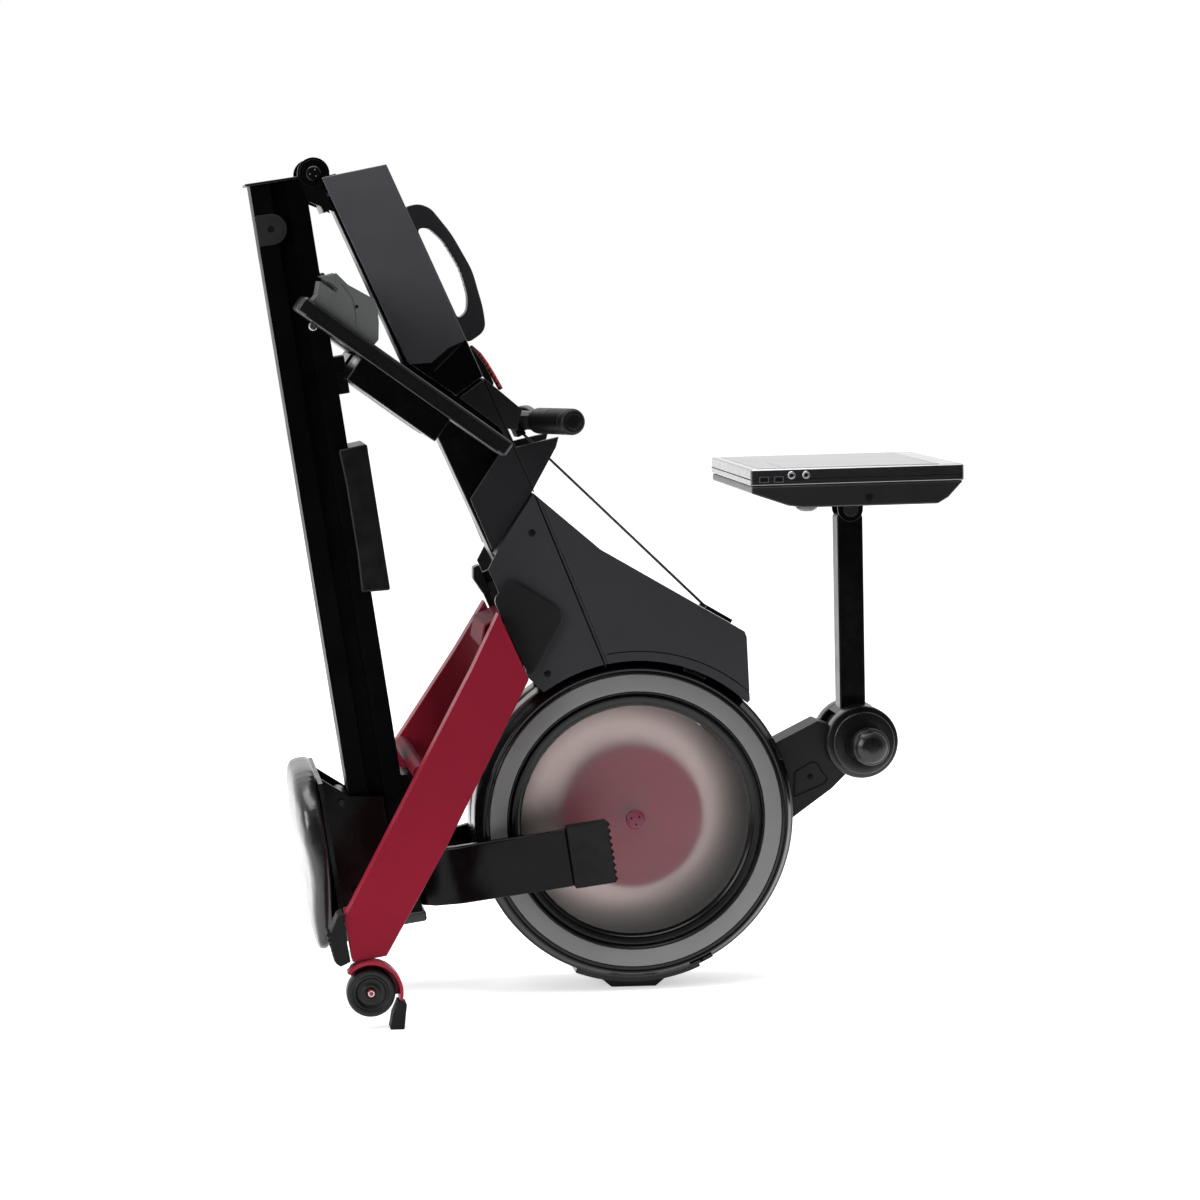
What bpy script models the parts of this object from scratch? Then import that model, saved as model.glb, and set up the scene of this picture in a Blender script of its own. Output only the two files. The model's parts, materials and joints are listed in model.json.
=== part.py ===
"""Folding magnetic rowing machine, stored upright in its folded pose.

Metres, +Z up, -Y is the near side.  The origin is on the floor, below the middle
of the machine's bounding box.  The front half (spine, shroud, flywheel, red legs)
and the rail half are each modelled as they lie when unfolded, with the fold hinge
at the local origin, and are then turned about it into the folded pose.
Front half: local +X runs from the hinge to the flywheel, local +Z is up in use.
Rail half: local -X runs from the hinge to the rear foot, local +Z is up in use.
"""
import math

import bmesh
import bpy
from mathutils import Matrix, Vector

COLLECTION = "folding_rower"
GAP = 0.0003

# Fold hinge and the two halves' turns about it (about +Y)
HINGE_X = -0.3777
HINGE_Z = 1.085
FRONT_TURN = math.radians(65.5)
RAIL_TURN = math.radians(-98.8)

# Spine
BEAM_HALF = 0.030
BEAM_LOW = 0.005
BEAM_HIGH = 0.0865
BEAM_END = 0.715
TUBE_WALL = 0.0025
COVER_HALF = 0.060
COVER_WALL = 0.003

# Flywheel housing, centred on the wheel's axle (front half)
WHEEL_U = 0.954
WHEEL_W = 0.030
HOUSING_R = 0.215
HOUSING_HALF = 0.068
WINDOW_R = 0.153
FLYWHEEL_R = 0.097
RIM_HALF = 0.020
RIM_R = 0.080
BOSS_R = 0.020
AXLE_R = 0.012
SHROUD_HALF = 0.075
SHROUD_WALL = 0.004

# Red legs
LEG_TOP_Y = 0.0906
LEG_HALF = 0.015
LEG_SPLAY = 0.448
LEG_TOP_W = -0.0235
TYRE_R = 0.031
TYRE_HALF = 0.011
TYRE_Y = 0.258
TYRE_X = HINGE_X + 0.0537
TYRE_Z = 0.047

# Pedals
PEDAL_SLOPE = math.radians(30.0)
PEDAL_U = 0.281
PEDAL_W = -0.0105
PEDAL_LENGTH = 0.325
PEDAL_THICK = 0.022
PEDAL_HALF = 0.056
PEDAL_Y = 0.142

# The pull handle hangs a little lower on its far side
HANDLE_ROLL = math.radians(-2.2)

# Console group, centred on the drum at the end of the console arm
DRUM_R = 0.049
DRUM_HALF = 0.050
DISC_R = 0.042
DISC_HALF = 0.060
DRUM_DX = 0.733
DRUM_Z = 0.327
POST_HALF = 0.0175
POST_LEAN = math.radians(-1.3)
POST_TOP = 0.313
CONSOLE_HALF = 0.155

# Rail
RAIL_HALF = 0.045
RAIL_LOW = 0.012
RAIL_HIGH = 0.084
RAIL_START = 0.004
RAIL_END = 0.983
REAR_LEG_RAKE = 0.054
SEAT_S = 0.880
SEAT_THICK = 0.040
SEAT_BASE = 0.1185
ROLLER_R = 0.0115

ROUND = 40


def clear_scene():
    for obj in list(bpy.data.objects):
        bpy.data.objects.remove(obj, do_unlink=True)


def new_collection(name):
    coll = bpy.data.collections.new(name)
    bpy.context.scene.collection.children.link(coll)
    return coll


def material(name, colour, roughness, metallic=0.0):
    mat = bpy.data.materials.new(name)
    mat.use_nodes = True
    shader = mat.node_tree.nodes["Principled BSDF"]
    shader.inputs["Base Color"].default_value = (*colour, 1.0)
    shader.inputs["Roughness"].default_value = roughness
    shader.inputs["Metallic"].default_value = metallic
    return mat


PARTS = None
CUTTERS = None
MATERIALS = {}


def keep(obj, name, mat, parent=None):
    """Name an object, give it its material and parent and put it with the parts."""
    obj.name = name
    if obj.name != name:
        raise ValueError(f"name {name} is taken")
    obj.data.name = name
    for coll in list(obj.users_collection):
        coll.objects.unlink(obj)
    PARTS.objects.link(obj)
    obj.data.materials.clear()
    obj.data.materials.append(MATERIALS[mat])
    if parent is not None:
        obj.parent = parent
    return obj


def as_cutter(obj, parent=None):
    for coll in list(obj.users_collection):
        coll.objects.unlink(obj)
    CUTTERS.objects.link(obj)
    obj.hide_render = True
    obj.display_type = "WIRE"
    if parent is not None:
        obj.parent = parent
    return obj


def boolean(obj, other, operation, parent=None):
    as_cutter(other, parent)
    mod = obj.modifiers.new(operation.lower(), "BOOLEAN")
    mod.operation = operation
    mod.solver = "EXACT"
    mod.object = other
    return obj


def cut(obj, other, parent=None):
    return boolean(obj, other, "DIFFERENCE", parent)


def fuse(obj, other, parent=None):
    return boolean(obj, other, "UNION", parent)


def bevel(obj, width, segments=2, angle=30.0):
    mod = obj.modifiers.new("bevel", "BEVEL")
    mod.width = width
    mod.segments = segments
    mod.limit_method = "ANGLE"
    mod.angle_limit = math.radians(angle)
    return obj


def smooth(obj, angle=35.0):
    obj.data.shade_smooth()
    obj.data.set_sharp_from_angle(angle=math.radians(angle))
    return obj


def bake(obj):
    """Turn a curve or a modified object into a welded mesh object."""
    bpy.context.view_layer.update()
    graph = bpy.context.evaluated_depsgraph_get()
    mesh = bpy.data.meshes.new_from_object(obj.evaluated_get(graph))
    bm = bmesh.new()
    bm.from_mesh(mesh)
    bmesh.ops.remove_doubles(bm, verts=bm.verts, dist=0.00002)
    bmesh.ops.recalc_face_normals(bm, faces=bm.faces)
    bm.to_mesh(mesh)
    bm.free()
    fresh = bpy.data.objects.new("baked", mesh)
    bpy.context.scene.collection.objects.link(fresh)
    fresh.matrix_world = obj.matrix_world
    bpy.data.objects.remove(obj, do_unlink=True)
    return fresh


def outline(points, half, y=0.0, holes=()):
    """A flat outline in X and Z, 2 * half thick along Y and centred on y."""
    curve = bpy.data.curves.new("outline", "CURVE")
    curve.dimensions = "2D"
    curve.fill_mode = "BOTH"
    curve.extrude = half
    for ring in (points, *holes):
        spline = curve.splines.new("POLY")
        spline.points.add(len(ring) - 1)
        for point, (x, z) in zip(spline.points, ring):
            point.co = (x, z, 0.0, 1.0)
        spline.use_cyclic_u = True
    obj = bpy.data.objects.new("outline", curve)
    bpy.context.scene.collection.objects.link(obj)
    obj = bake(obj)
    turn = Matrix.Rotation(math.radians(90.0), 4, "X")
    obj.data.transform(Matrix.Translation((0.0, y, 0.0)) @ turn)
    return obj


def section(points, x0, x1):
    """A cross-section in Y and Z swept along X from x0 to x1."""
    obj = outline(points, abs(x1 - x0) / 2.0)
    obj.data.transform(Matrix.Rotation(math.radians(90.0), 4, "Z"))
    obj.data.transform(Matrix.Translation(((x0 + x1) / 2.0, 0.0, 0.0)))
    return obj


def box(x0, x1, y0, y1, z0, z1):
    bpy.ops.mesh.primitive_cube_add(size=1.0)
    obj = bpy.context.object
    scale = Matrix.Diagonal((x1 - x0, y1 - y0, z1 - z0, 1.0))
    centre = Vector(((x0 + x1) / 2.0, (y0 + y1) / 2.0, (z0 + z1) / 2.0))
    obj.data.transform(Matrix.Translation(centre) @ scale)
    return obj


def disc(x, z, radius, y0, y1, segments=ROUND):
    """A cylinder along Y."""
    bpy.ops.mesh.primitive_cylinder_add(vertices=segments, radius=radius, depth=abs(y1 - y0))
    obj = bpy.context.object
    obj.data.transform(Matrix.Rotation(math.radians(90.0), 4, "X"))
    obj.data.transform(Matrix.Translation((x, (y0 + y1) / 2.0, z)))
    return obj


def turned(profile, x, z, segments=ROUND, side=-1.0):
    """A closed ring of (radius, depth) turned about the Y axis through (x, z).

    Depth runs outwards, towards -Y for side -1 and towards +Y for side +1.
    """
    mesh = bpy.data.meshes.new("turned")
    bm = bmesh.new()
    verts = [bm.verts.new((radius, 0.0, depth)) for radius, depth in profile]
    for first, second in zip(verts, verts[1:] + verts[:1]):
        bm.edges.new((first, second))
    bm.to_mesh(mesh)
    bm.free()
    obj = bpy.data.objects.new("turned", mesh)
    bpy.context.scene.collection.objects.link(obj)
    screw = obj.modifiers.new("screw", "SCREW")
    screw.axis = "Z"
    screw.steps = segments
    screw.render_steps = segments
    screw.use_merge_vertices = True
    screw.merge_threshold = 0.00005
    obj = bake(obj)
    turn = Matrix.Rotation(math.radians(-90.0 * side), 4, "X")
    obj.data.transform(Matrix.Translation((x, 0.0, z)) @ turn)
    return obj


def tube(points, radius, resolution=2):
    curve = bpy.data.curves.new("tube", "CURVE")
    curve.dimensions = "3D"
    curve.bevel_depth = radius
    curve.bevel_resolution = resolution
    curve.use_fill_caps = True
    spline = curve.splines.new("POLY")
    spline.points.add(len(points) - 1)
    for point, co in zip(spline.points, points):
        point.co = (*co, 1.0)
    obj = bpy.data.objects.new("tube", curve)
    bpy.context.scene.collection.objects.link(obj)
    return bake(obj)


def arc(x, z, radius, start, stop, count):
    """Points on a circle from start to stop degrees."""
    points = []
    for i in range(count + 1):
        angle = math.radians(start + (stop - start) * i / count)
        points.append((x + radius * math.cos(angle), z + radius * math.sin(angle)))
    return points


def rounded(points, radius, count=3):
    """An outline with each corner replaced by a short curve."""
    result = []
    total = len(points)
    for i in range(total):
        corner = Vector(points[i])
        before = Vector(points[i - 1]) - corner
        after = Vector(points[(i + 1) % total]) - corner
        reach = min(radius, before.length * 0.45, after.length * 0.45)
        start = corner + before.normalized() * reach
        stop = corner + after.normalized() * reach
        for k in range(count + 1):
            t = k / count
            point = start * (1 - t) ** 2 + corner * 2 * t * (1 - t) + stop * t ** 2
            result.append((point.x, point.y))
    return result


def mirrored(obj):
    """The same shape on the other side of the machine."""
    mesh = obj.data.copy()
    mesh.transform(Matrix.Diagonal((1.0, -1.0, 1.0, 1.0)))
    mesh.flip_normals()
    fresh = bpy.data.objects.new("mirrored", mesh)
    bpy.context.scene.collection.objects.link(fresh)
    return fresh


def pair(make, name, mat, parent=None, width=0.0):
    """Build a near piece and its mirror image on the far side."""
    near = make()
    if near.modifiers:
        near = bake(near)
    far = mirrored(near)
    for obj, side in ((near, "near"), (far, "far")):
        keep(obj, f"{name}_{side}", mat, parent)
        if width > 0.0:
            bevel(obj, width)
        smooth(obj)


def front_to_world(u, w):
    """World X and Z of a point given in the front half's own frame."""
    x = HINGE_X + u * math.cos(FRONT_TURN) + w * math.sin(FRONT_TURN)
    z = HINGE_Z - u * math.sin(FRONT_TURN) + w * math.cos(FRONT_TURN)
    return x, z


def make_materials():
    MATERIALS["black_steel"] = material("black_steel", (0.012, 0.012, 0.014), 0.38, 0.3)
    MATERIALS["charcoal"] = material("charcoal", (0.030, 0.030, 0.033), 0.5)
    MATERIALS["gloss_black"] = material("gloss_black", (0.010, 0.010, 0.011), 0.22)
    MATERIALS["red_paint"] = material("red_paint", (0.27, 0.012, 0.035), 0.35, 0.3)
    MATERIALS["red_disc"] = material("red_disc", (0.33, 0.010, 0.045), 0.5)
    MATERIALS["flywheel_steel"] = material("flywheel_steel", (0.62, 0.58, 0.55), 0.4, 0.8)
    MATERIALS["ring_grey"] = material("ring_grey", (0.16, 0.16, 0.165), 0.35, 0.4)
    MATERIALS["window"] = material("window", (0.60, 0.55, 0.52), 0.5)
    MATERIALS["rubber"] = material("rubber", (0.030, 0.032, 0.032), 0.8)
    MATERIALS["steel"] = material("steel", (0.55, 0.55, 0.56), 0.3, 1.0)
    MATERIALS["heel_grey"] = material("heel_grey", (0.16, 0.165, 0.17), 0.5)
    MATERIALS["webbing"] = material("webbing", (0.02, 0.02, 0.022), 0.9)
    MATERIALS["pull_red"] = material("pull_red", (0.55, 0.02, 0.04), 0.6)
    MATERIALS["seat_black"] = material("seat_black", (0.035, 0.035, 0.038), 0.55)


def make_spine(front):
    beam = box(0.034, BEAM_END, -BEAM_HALF, BEAM_HALF, BEAM_LOW, BEAM_HIGH)
    wall = TUBE_WALL
    cut(beam, box(-0.1, 0.9, wall - BEAM_HALF, BEAM_HALF - wall, BEAM_LOW + wall, BEAM_HIGH - wall),
        front)
    cut(beam, disc(WHEEL_U, WHEEL_W, HOUSING_R + 0.004, -0.1, 0.1), front)
    keep(beam, "front_beam", "black_steel", front)

    side = [(0.009, 0.007), (0.028, 0.091), (0.331, 0.091), (0.340, 0.048), (0.272, 0.008)]
    cover = outline(side, COVER_HALF)
    cut(cover, box(-0.05, 0.40, -COVER_HALF + COVER_WALL, COVER_HALF - COVER_WALL,
                   -0.02, 0.091 - COVER_WALL), front)
    keep(cover, "beam_cover", "charcoal", front)

    lug = arc(0.0, 0.0, 0.021, 60.0, 255.0, 14)
    lug += [(0.030, -0.0215), (0.057, 0.0045), (0.030, 0.0045), (0.012, 0.027)]
    bracket = outline(lug, 0.0035, -0.051)
    fuse(bracket, outline(lug, 0.0035, 0.051), front)
    fuse(bracket, box(0.031, 0.052, -0.0535, 0.0535, -0.009, 0.0045), front)
    cut(bracket, disc(0.0, 0.0, 0.00605, -0.2, 0.2, 24), front)
    keep(bracket, "hinge_bracket", "black_steel", front)

    pin = disc(0.0, 0.0, 0.006, -0.056, 0.056, 24)
    fuse(pin, disc(0.0, 0.0, 0.010, -0.0595, -0.0549, 24), front)
    fuse(pin, disc(0.0, 0.0, 0.010, 0.0549, 0.0595, 24), front)
    keep(smooth(pin), "hinge_pin", "steel", front)


def make_lift_handle(front):
    outer = [(0.088, 0.0915), (0.092, 0.112), (0.104, 0.124), (0.147, 0.135), (0.201, 0.140),
             (0.252, 0.129), (0.276, 0.116), (0.286, 0.0915)]
    inner = [(0.122, 0.0960), (0.126, 0.110), (0.150, 0.121), (0.195, 0.126), (0.231, 0.120),
             (0.248, 0.111), (0.252, 0.0960)]
    handle = outline(rounded(outer, 0.004), 0.014, holes=[rounded(inner, 0.004)])
    keep(bevel(handle, 0.0018, 2), "lift_handle", "gloss_black", front)


def make_cradle(front):
    side = [(0.343, 0.0505), (0.3345, 0.0915), (0.392, 0.119), (0.414, 0.101), (0.407, 0.0915),
            (0.434, 0.0915), (0.436, 0.104), (0.445, 0.148), (0.456, 0.139), (0.4955, 0.0865),
            (0.5430, 0.0115), (0.543, 0.006), (0.470, 0.008), (0.432, 0.068), (0.418, 0.083),
            (0.402, 0.083)]
    cradle = outline(side, 0.064)
    cut(cradle, box(0.30, 0.60, -0.0605, 0.0605, -0.02, 0.0885), front)
    cut(cradle, box(0.30, 0.60, -0.054, 0.054, 0.0915, 0.20), front)
    keep(cradle, "handle_cradle", "charcoal", front)


def shroud_outline():
    return [(0.4985, 0.0865), (0.603, 0.136), (0.728, 0.2255), (0.784, 0.2655), (0.792, 0.265),
            (0.871, 0.234), (0.900, 0.150), (0.790, -0.060), (0.743, -0.011), (0.716, -0.022),
            (0.590, -0.010), (0.563, -0.010), (0.546, 0.0115)]


def make_shroud(front):
    def half():
        shell = outline(shroud_outline(), SHROUD_HALF / 2.0, -SHROUD_HALF / 2.0 - GAP / 2.0)
        inner = [(0.515, 0.086), (0.605, 0.1325), (0.730, 0.2215), (0.7855, 0.2605),
                 (0.865, 0.230), (0.895, 0.150), (0.790, -0.200), (0.56, -0.200),
                 (0.5500, 0.0105)]
        depth = SHROUD_HALF - SHROUD_WALL
        cut(shell, outline(inner, depth / 2.0 + 0.02, -depth / 2.0 + 0.02), front)
        cut(shell, outline([(0.45, 0.0883), (0.56, 0.0883), (0.56, -0.05), (0.45, -0.05)],
                           0.033, 0.0), front)
        cut(shell, disc(WHEEL_U, WHEEL_W, HOUSING_R + 0.0005, -0.2, 0.2, 64), front)
        cut(shell, box(0.7525, 0.767, -0.0195, 0.0195, 0.20, 0.30), front)
        return shell

    pair_in_frame(half, "shroud", "charcoal", front)

    cover = [(0.588, 0.012), (0.650, 0.053), (0.664, 0.050), (0.706, -0.004), (0.716, -0.021),
             (0.600, -0.021)]

    def plate():
        return outline(rounded(cover, 0.010), 0.004, -SHROUD_HALF - 0.0045)

    pair(plate, "pivot_cover", "gloss_black", front, 0.0025)

    guide = box(-0.006, 0.034, -0.028, 0.028, 0.0003, 0.0055)
    cut(guide, box(-0.020, 0.005, -0.0205, 0.0205, -0.01, 0.01))
    cut(guide, box(0.000, 0.028, -0.0205, 0.0205, -0.01, 0.0035))
    guide = bake(guide)
    guide.data.transform(guide_frame())
    keep(guide, "strap_guide", "gloss_black", front)


def guide_frame():
    """Where the strap meets the top of the shroud, with X along the slope."""
    slope = math.atan2(0.040, 0.056)
    return Matrix.Translation((0.746, 0.0, 0.2384)) @ Matrix.Rotation(-slope, 4, "Y")


def pair_in_frame(make, name, mat, parent):
    """Like pair, for a piece whose cutters hang on the same parent."""
    near = make()
    near.parent = parent
    near = bake(near)
    near.data.transform(parent.matrix_world.inverted() @ near.matrix_world)
    near.matrix_world = Matrix.Identity(4)
    far = mirrored(near)
    for obj, side in ((near, "near"), (far, "far")):
        keep(smooth(obj), f"{name}_{side}", mat, parent)


def make_housing(front):
    half = HOUSING_HALF

    def shell():
        ring = [(HOUSING_R, 0.0002), (HOUSING_R, half - 0.016), (HOUSING_R - 0.012, half - 0.001),
                (0.1965, half), (0.1965, half - 0.004), (0.1735, half - 0.004), (0.1735, half),
                (0.170, half), (0.160, half - 0.008), (WINDOW_R + 0.0003, half - 0.010),
                (WINDOW_R + 0.0003, half - 0.017), (0.200, half - 0.017),
                (HOUSING_R - 0.004, half - 0.024), (HOUSING_R - 0.004, 0.0002)]
        return turned(ring, WHEEL_U, WHEEL_W, 48)

    pair(shell, "flywheel_housing", "gloss_black", front)

    def trim():
        ring = [(0.1962, half - 0.0037), (0.1962, half + 0.001), (0.1738, half + 0.001),
                (0.1738, half - 0.0037)]
        return turned(ring, WHEEL_U, WHEEL_W, 48)

    pair(trim, "trim_ring", "ring_grey", front)

    def window():
        pane = disc(WHEEL_U, WHEEL_W, WINDOW_R, -(half - 0.011), -(half - 0.014), 48)
        cut(pane, disc(WHEEL_U, WHEEL_W, AXLE_R + 0.0006, -0.2, 0.2, 24))
        return pane

    pair(window, "housing_window", "window", front)

    web = 0.008
    ring = [(BOSS_R + GAP, -web), (BOSS_R + GAP, web), (RIM_R, web), (RIM_R, RIM_HALF),
            (FLYWHEEL_R - GAP, RIM_HALF), (FLYWHEEL_R - GAP, -RIM_HALF), (RIM_R, -RIM_HALF),
            (RIM_R, -web)]
    keep(smooth(turned(ring, WHEEL_U, WHEEL_W, 48)), "flywheel", "flywheel_steel", front)

    face = RIM_HALF + 0.006
    hub = disc(WHEEL_U, WHEEL_W, FLYWHEEL_R, -face, -RIM_HALF - GAP, 48)
    fuse(hub, disc(WHEEL_U, WHEEL_W, FLYWHEEL_R, RIM_HALF + GAP, face, 48), front)
    fuse(hub, disc(WHEEL_U, WHEEL_W, BOSS_R, -RIM_HALF - 0.002, RIM_HALF + 0.002, 32), front)
    fuse(hub, disc(WHEEL_U, WHEEL_W, AXLE_R, -(half - 0.009), half - 0.009, 24), front)
    keep(smooth(hub), "flywheel_hub", "red_disc", front)


def make_housing_foot():
    x, z = front_to_world(WHEEL_U, WHEEL_W)
    foot = box(x - 0.032, x + 0.032, -0.055, 0.055, 0.0, 0.024)
    cut(foot, disc(x, z, HOUSING_R + 0.0004, -0.2, 0.2, 96))
    keep(foot, "housing_foot", "rubber")


def leg_y(w):
    """How far out the middle of a leg is at height w of the front half."""
    return LEG_TOP_Y + LEG_SPLAY * (LEG_TOP_W - w)


def make_legs(front):
    side = [(0.618, LEG_TOP_W), (0.714, LEG_TOP_W), (0.853, -0.216), (0.936, -0.344),
            (0.9205, -0.386), (0.8665, -0.372), (0.666, -0.087)]

    hollow = [(0.6225, LEG_TOP_W + 0.001), (0.7085, LEG_TOP_W + 0.001), (0.8495, -0.2155),
              (0.9315, -0.3435), (0.9180, -0.3825), (0.8685, -0.3695), (0.6695, -0.0865)]

    def leg():
        obj = outline(side, LEG_HALF)
        space = outline(hollow, LEG_HALF - TUBE_WALL)
        for shape in (obj, space):
            for vert in shape.data.vertices:
                vert.co.y -= leg_y(vert.co.z)
        return cut(obj, space)

    pair(leg, "front_leg", "red_paint", front, 0.003)

    tube_y = leg_y(-0.205) - LEG_HALF / math.cos(math.atan(LEG_SPLAY)) - 0.006
    bar = disc(0.7585, -0.205, 0.0105, -tube_y, tube_y, 20)
    keep(smooth(bar), "leg_crossbar", "red_paint", front)

    inner = SHROUD_HALF - SHROUD_WALL - 0.0005
    spreader = outline([(0.628, 0.0045), (0.628, -0.045), (0.652, -0.062), (0.700, -0.045),
                        (0.700, 0.0045)], inner,
                       holes=[[(0.632, 0.0005), (0.632, -0.043), (0.653, -0.0575),
                               (0.696, -0.0425), (0.696, 0.0005)]])
    keep(bevel(spreader, 0.002, 1), "leg_spreader", "red_paint", front)


def make_wheels():
    def fender():
        outer = arc(TYRE_X, TYRE_Z, 0.0410, -14.0, 138.0, 14)
        inner = arc(TYRE_X, TYRE_Z, 0.0370, 138.0, -14.0, 14)
        band = outline(outer + inner, 0.014, -TYRE_Y)
        web = arc(TYRE_X, TYRE_Z, 0.0390, -10.0, 138.0, 12)
        web += arc(TYRE_X, TYRE_Z, 0.012, 180.0, 330.0, 5)
        fuse(band, outline(web, 0.002, -TYRE_Y + 0.016))
        fuse(band, disc(TYRE_X, TYRE_Z, 0.0052, -TYRE_Y - 0.012, -TYRE_Y + 0.015, 20))
        return band

    pair(fender, "wheel_fender", "red_paint")

    def tyre():
        wall = TYRE_HALF
        ring = [(0.0056, -wall), (0.0056, wall - 0.003), (0.019, wall - 0.003), (0.021, wall),
                (0.028, wall), (TYRE_R, wall - 0.003), (TYRE_R, -wall + 0.003), (0.028, -wall)]
        obj = turned(ring, TYRE_X, TYRE_Z, 24)
        obj.data.transform(Matrix.Translation((0.0, -TYRE_Y, 0.0)))
        return obj

    pair(tyre, "transport_wheel", "rubber")

    def stub():
        block = [(0.0235, 0.0), (0.0420, 0.0), (0.0452, 0.033), (0.0340, 0.0372),
                 (0.0315, 0.030), (0.0270, 0.020)]
        return outline([(TYRE_X + x, z) for x, z in block], 0.015, -TYRE_Y)

    pair(stub, "stub_foot", "rubber", None, 0.0015)


def make_foot_caps(front):
    cap = [(0.8580, -0.3700), (0.8640, -0.3735), (0.9185, -0.3880), (0.9190, -0.402),
           (0.912, -0.406), (0.878, -0.399), (0.858, -0.378)]

    def block():
        return outline(cap, 0.020, -leg_y(-0.380))

    pair(block, "foot_cap", "rubber", front, 0.0015)


def make_pedals(front):
    turn = Matrix.Rotation(-PEDAL_SLOPE, 4, "Y")
    place = Matrix.Translation((PEDAL_U, -PEDAL_Y, PEDAL_W)) @ turn
    long = PEDAL_LENGTH / 2.0
    thick = PEDAL_THICK / 2.0

    def plate():
        tray = box(-long, long, -PEDAL_HALF, PEDAL_HALF, -thick, thick)
        bevel(tray, 0.004, 2)
        tray = bake(tray)
        well = box(-long + 0.010, long - 0.012, -PEDAL_HALF + 0.006, PEDAL_HALF - 0.006,
                   thick - 0.007, thick + 0.02)
        cut(tray, well)
        obj = bake(tray)
        obj.data.transform(place)
        return obj

    pair(plate, "pedal", "charcoal", front)

    def cup():
        outer = [(-0.1515, 0.0043), (-0.1500, 0.0200), (-0.1570, 0.0345), (-0.1590, 0.0435),
                 (-0.1536, 0.0481), (-0.1468, 0.0569), (-0.1267, 0.0535), (-0.0901, 0.0578),
                 (-0.0797, 0.0514), (-0.0676, 0.0382), (-0.0546, 0.0190), (-0.0560, 0.0043)]
        obj = outline(outer, 0.046)
        well = [(-0.146, 0.009), (-0.146, 0.062), (-0.050, 0.062), (-0.050, 0.009)]
        cut(obj, outline(well, 0.042))
        cut(obj, box(-0.20, -0.120, -0.026, 0.026, 0.038, 0.06))
        cut(obj, box(-0.20, -0.133, -0.06, 0.06, 0.0365, 0.0425))
        obj = bake(obj)
        obj.data.transform(place)
        return obj

    pair(cup, "heel_cup", "heel_grey", front)

    def bracket():
        obj = box(-0.058, 0.080, -0.034, PEDAL_Y - BEAM_HALF - 0.001, -0.0452, -thick - GAP)
        cut(obj, box(-0.055, 0.077, -0.031, 0.2, -0.0422, -thick - 0.003))
        obj = bake(obj)
        obj.data.transform(place)
        return obj

    pair(bracket, "pedal_bracket", "black_steel", front)


def make_handle(front):
    u, w = 0.411, 0.1215
    rise_u, rise_w = 0.0135, 0.030
    half = 0.2195
    bend = 0.085
    roll = (Matrix.Translation((u, 0.0, w))
            @ Matrix.Rotation(HANDLE_ROLL, 4, Vector((0.92, 0.0, 0.40)))
            @ Matrix.Translation((-u, 0.0, -w)))

    def at(y):
        t = max(0.0, (abs(y) - 0.055) / (half - 0.055))
        return roll @ Vector((u + rise_u * t, y, w + rise_w * t))

    bar = tube([at(y) for y in (-0.205, -bend, -0.055, 0.055, bend, 0.205)], 0.0125, 3)
    yoke = box(u - 0.004, u + 0.016, -0.022, 0.022, w - 0.0195, w - 0.008)
    yoke.data.transform(roll)
    fuse(bar, yoke)
    bar = bake(bar)
    keep(smooth(bar), "handle_bar", "black_steel", front)

    for name, side in (("near", -1.0), ("far", 1.0)):
        obj = tube([at(side * y) for y in (half, bend + 0.004)], 0.0170, 4)
        cut(obj, tube([at(side * y) for y in (0.2055, bend, 0.055)], 0.0128, 3))
        keep(smooth(bake(obj)), f"hand_grip_{name}", "rubber", front)

    start = Vector((u + 0.0170, 0.0, w - 0.0090))
    stop = guide_frame() @ Vector((0.003, 0.0, 0.0018))
    along = stop - start
    strap = box(0.0, along.length, -0.019, 0.019, -0.0009, 0.0009)
    slope = math.atan2(along.z, along.x)
    strap.data.transform(Matrix.Translation(start) @ Matrix.Rotation(-slope, 4, "Y"))
    keep(strap, "pull_strap", "webbing", front)


def make_console_arm():
    x = HINGE_X + DRUM_DX
    wheel_x, wheel_z = front_to_world(WHEEL_U, WHEEL_W)
    dx = wheel_x + 0.011
    side = [(dx + 0.178, 0.322), (dx + 0.242, 0.354), (x - 0.036, DRUM_Z + 0.020),
            (x, DRUM_Z), (x - 0.012, DRUM_Z - 0.040), (dx + 0.262, 0.262), (dx + 0.196, 0.214)]
    arm = outline(side, 0.026)
    fuse(arm, disc(x, DRUM_Z, 0.0405, -0.026, 0.026, 32))
    cut(arm, disc(x, DRUM_Z, 0.00805, -0.2, 0.2, 24))
    cut(arm, disc(wheel_x, wheel_z, HOUSING_R + 0.0005, -0.2, 0.2, 96))
    keep(arm, "console_arm", "charcoal")


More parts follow.
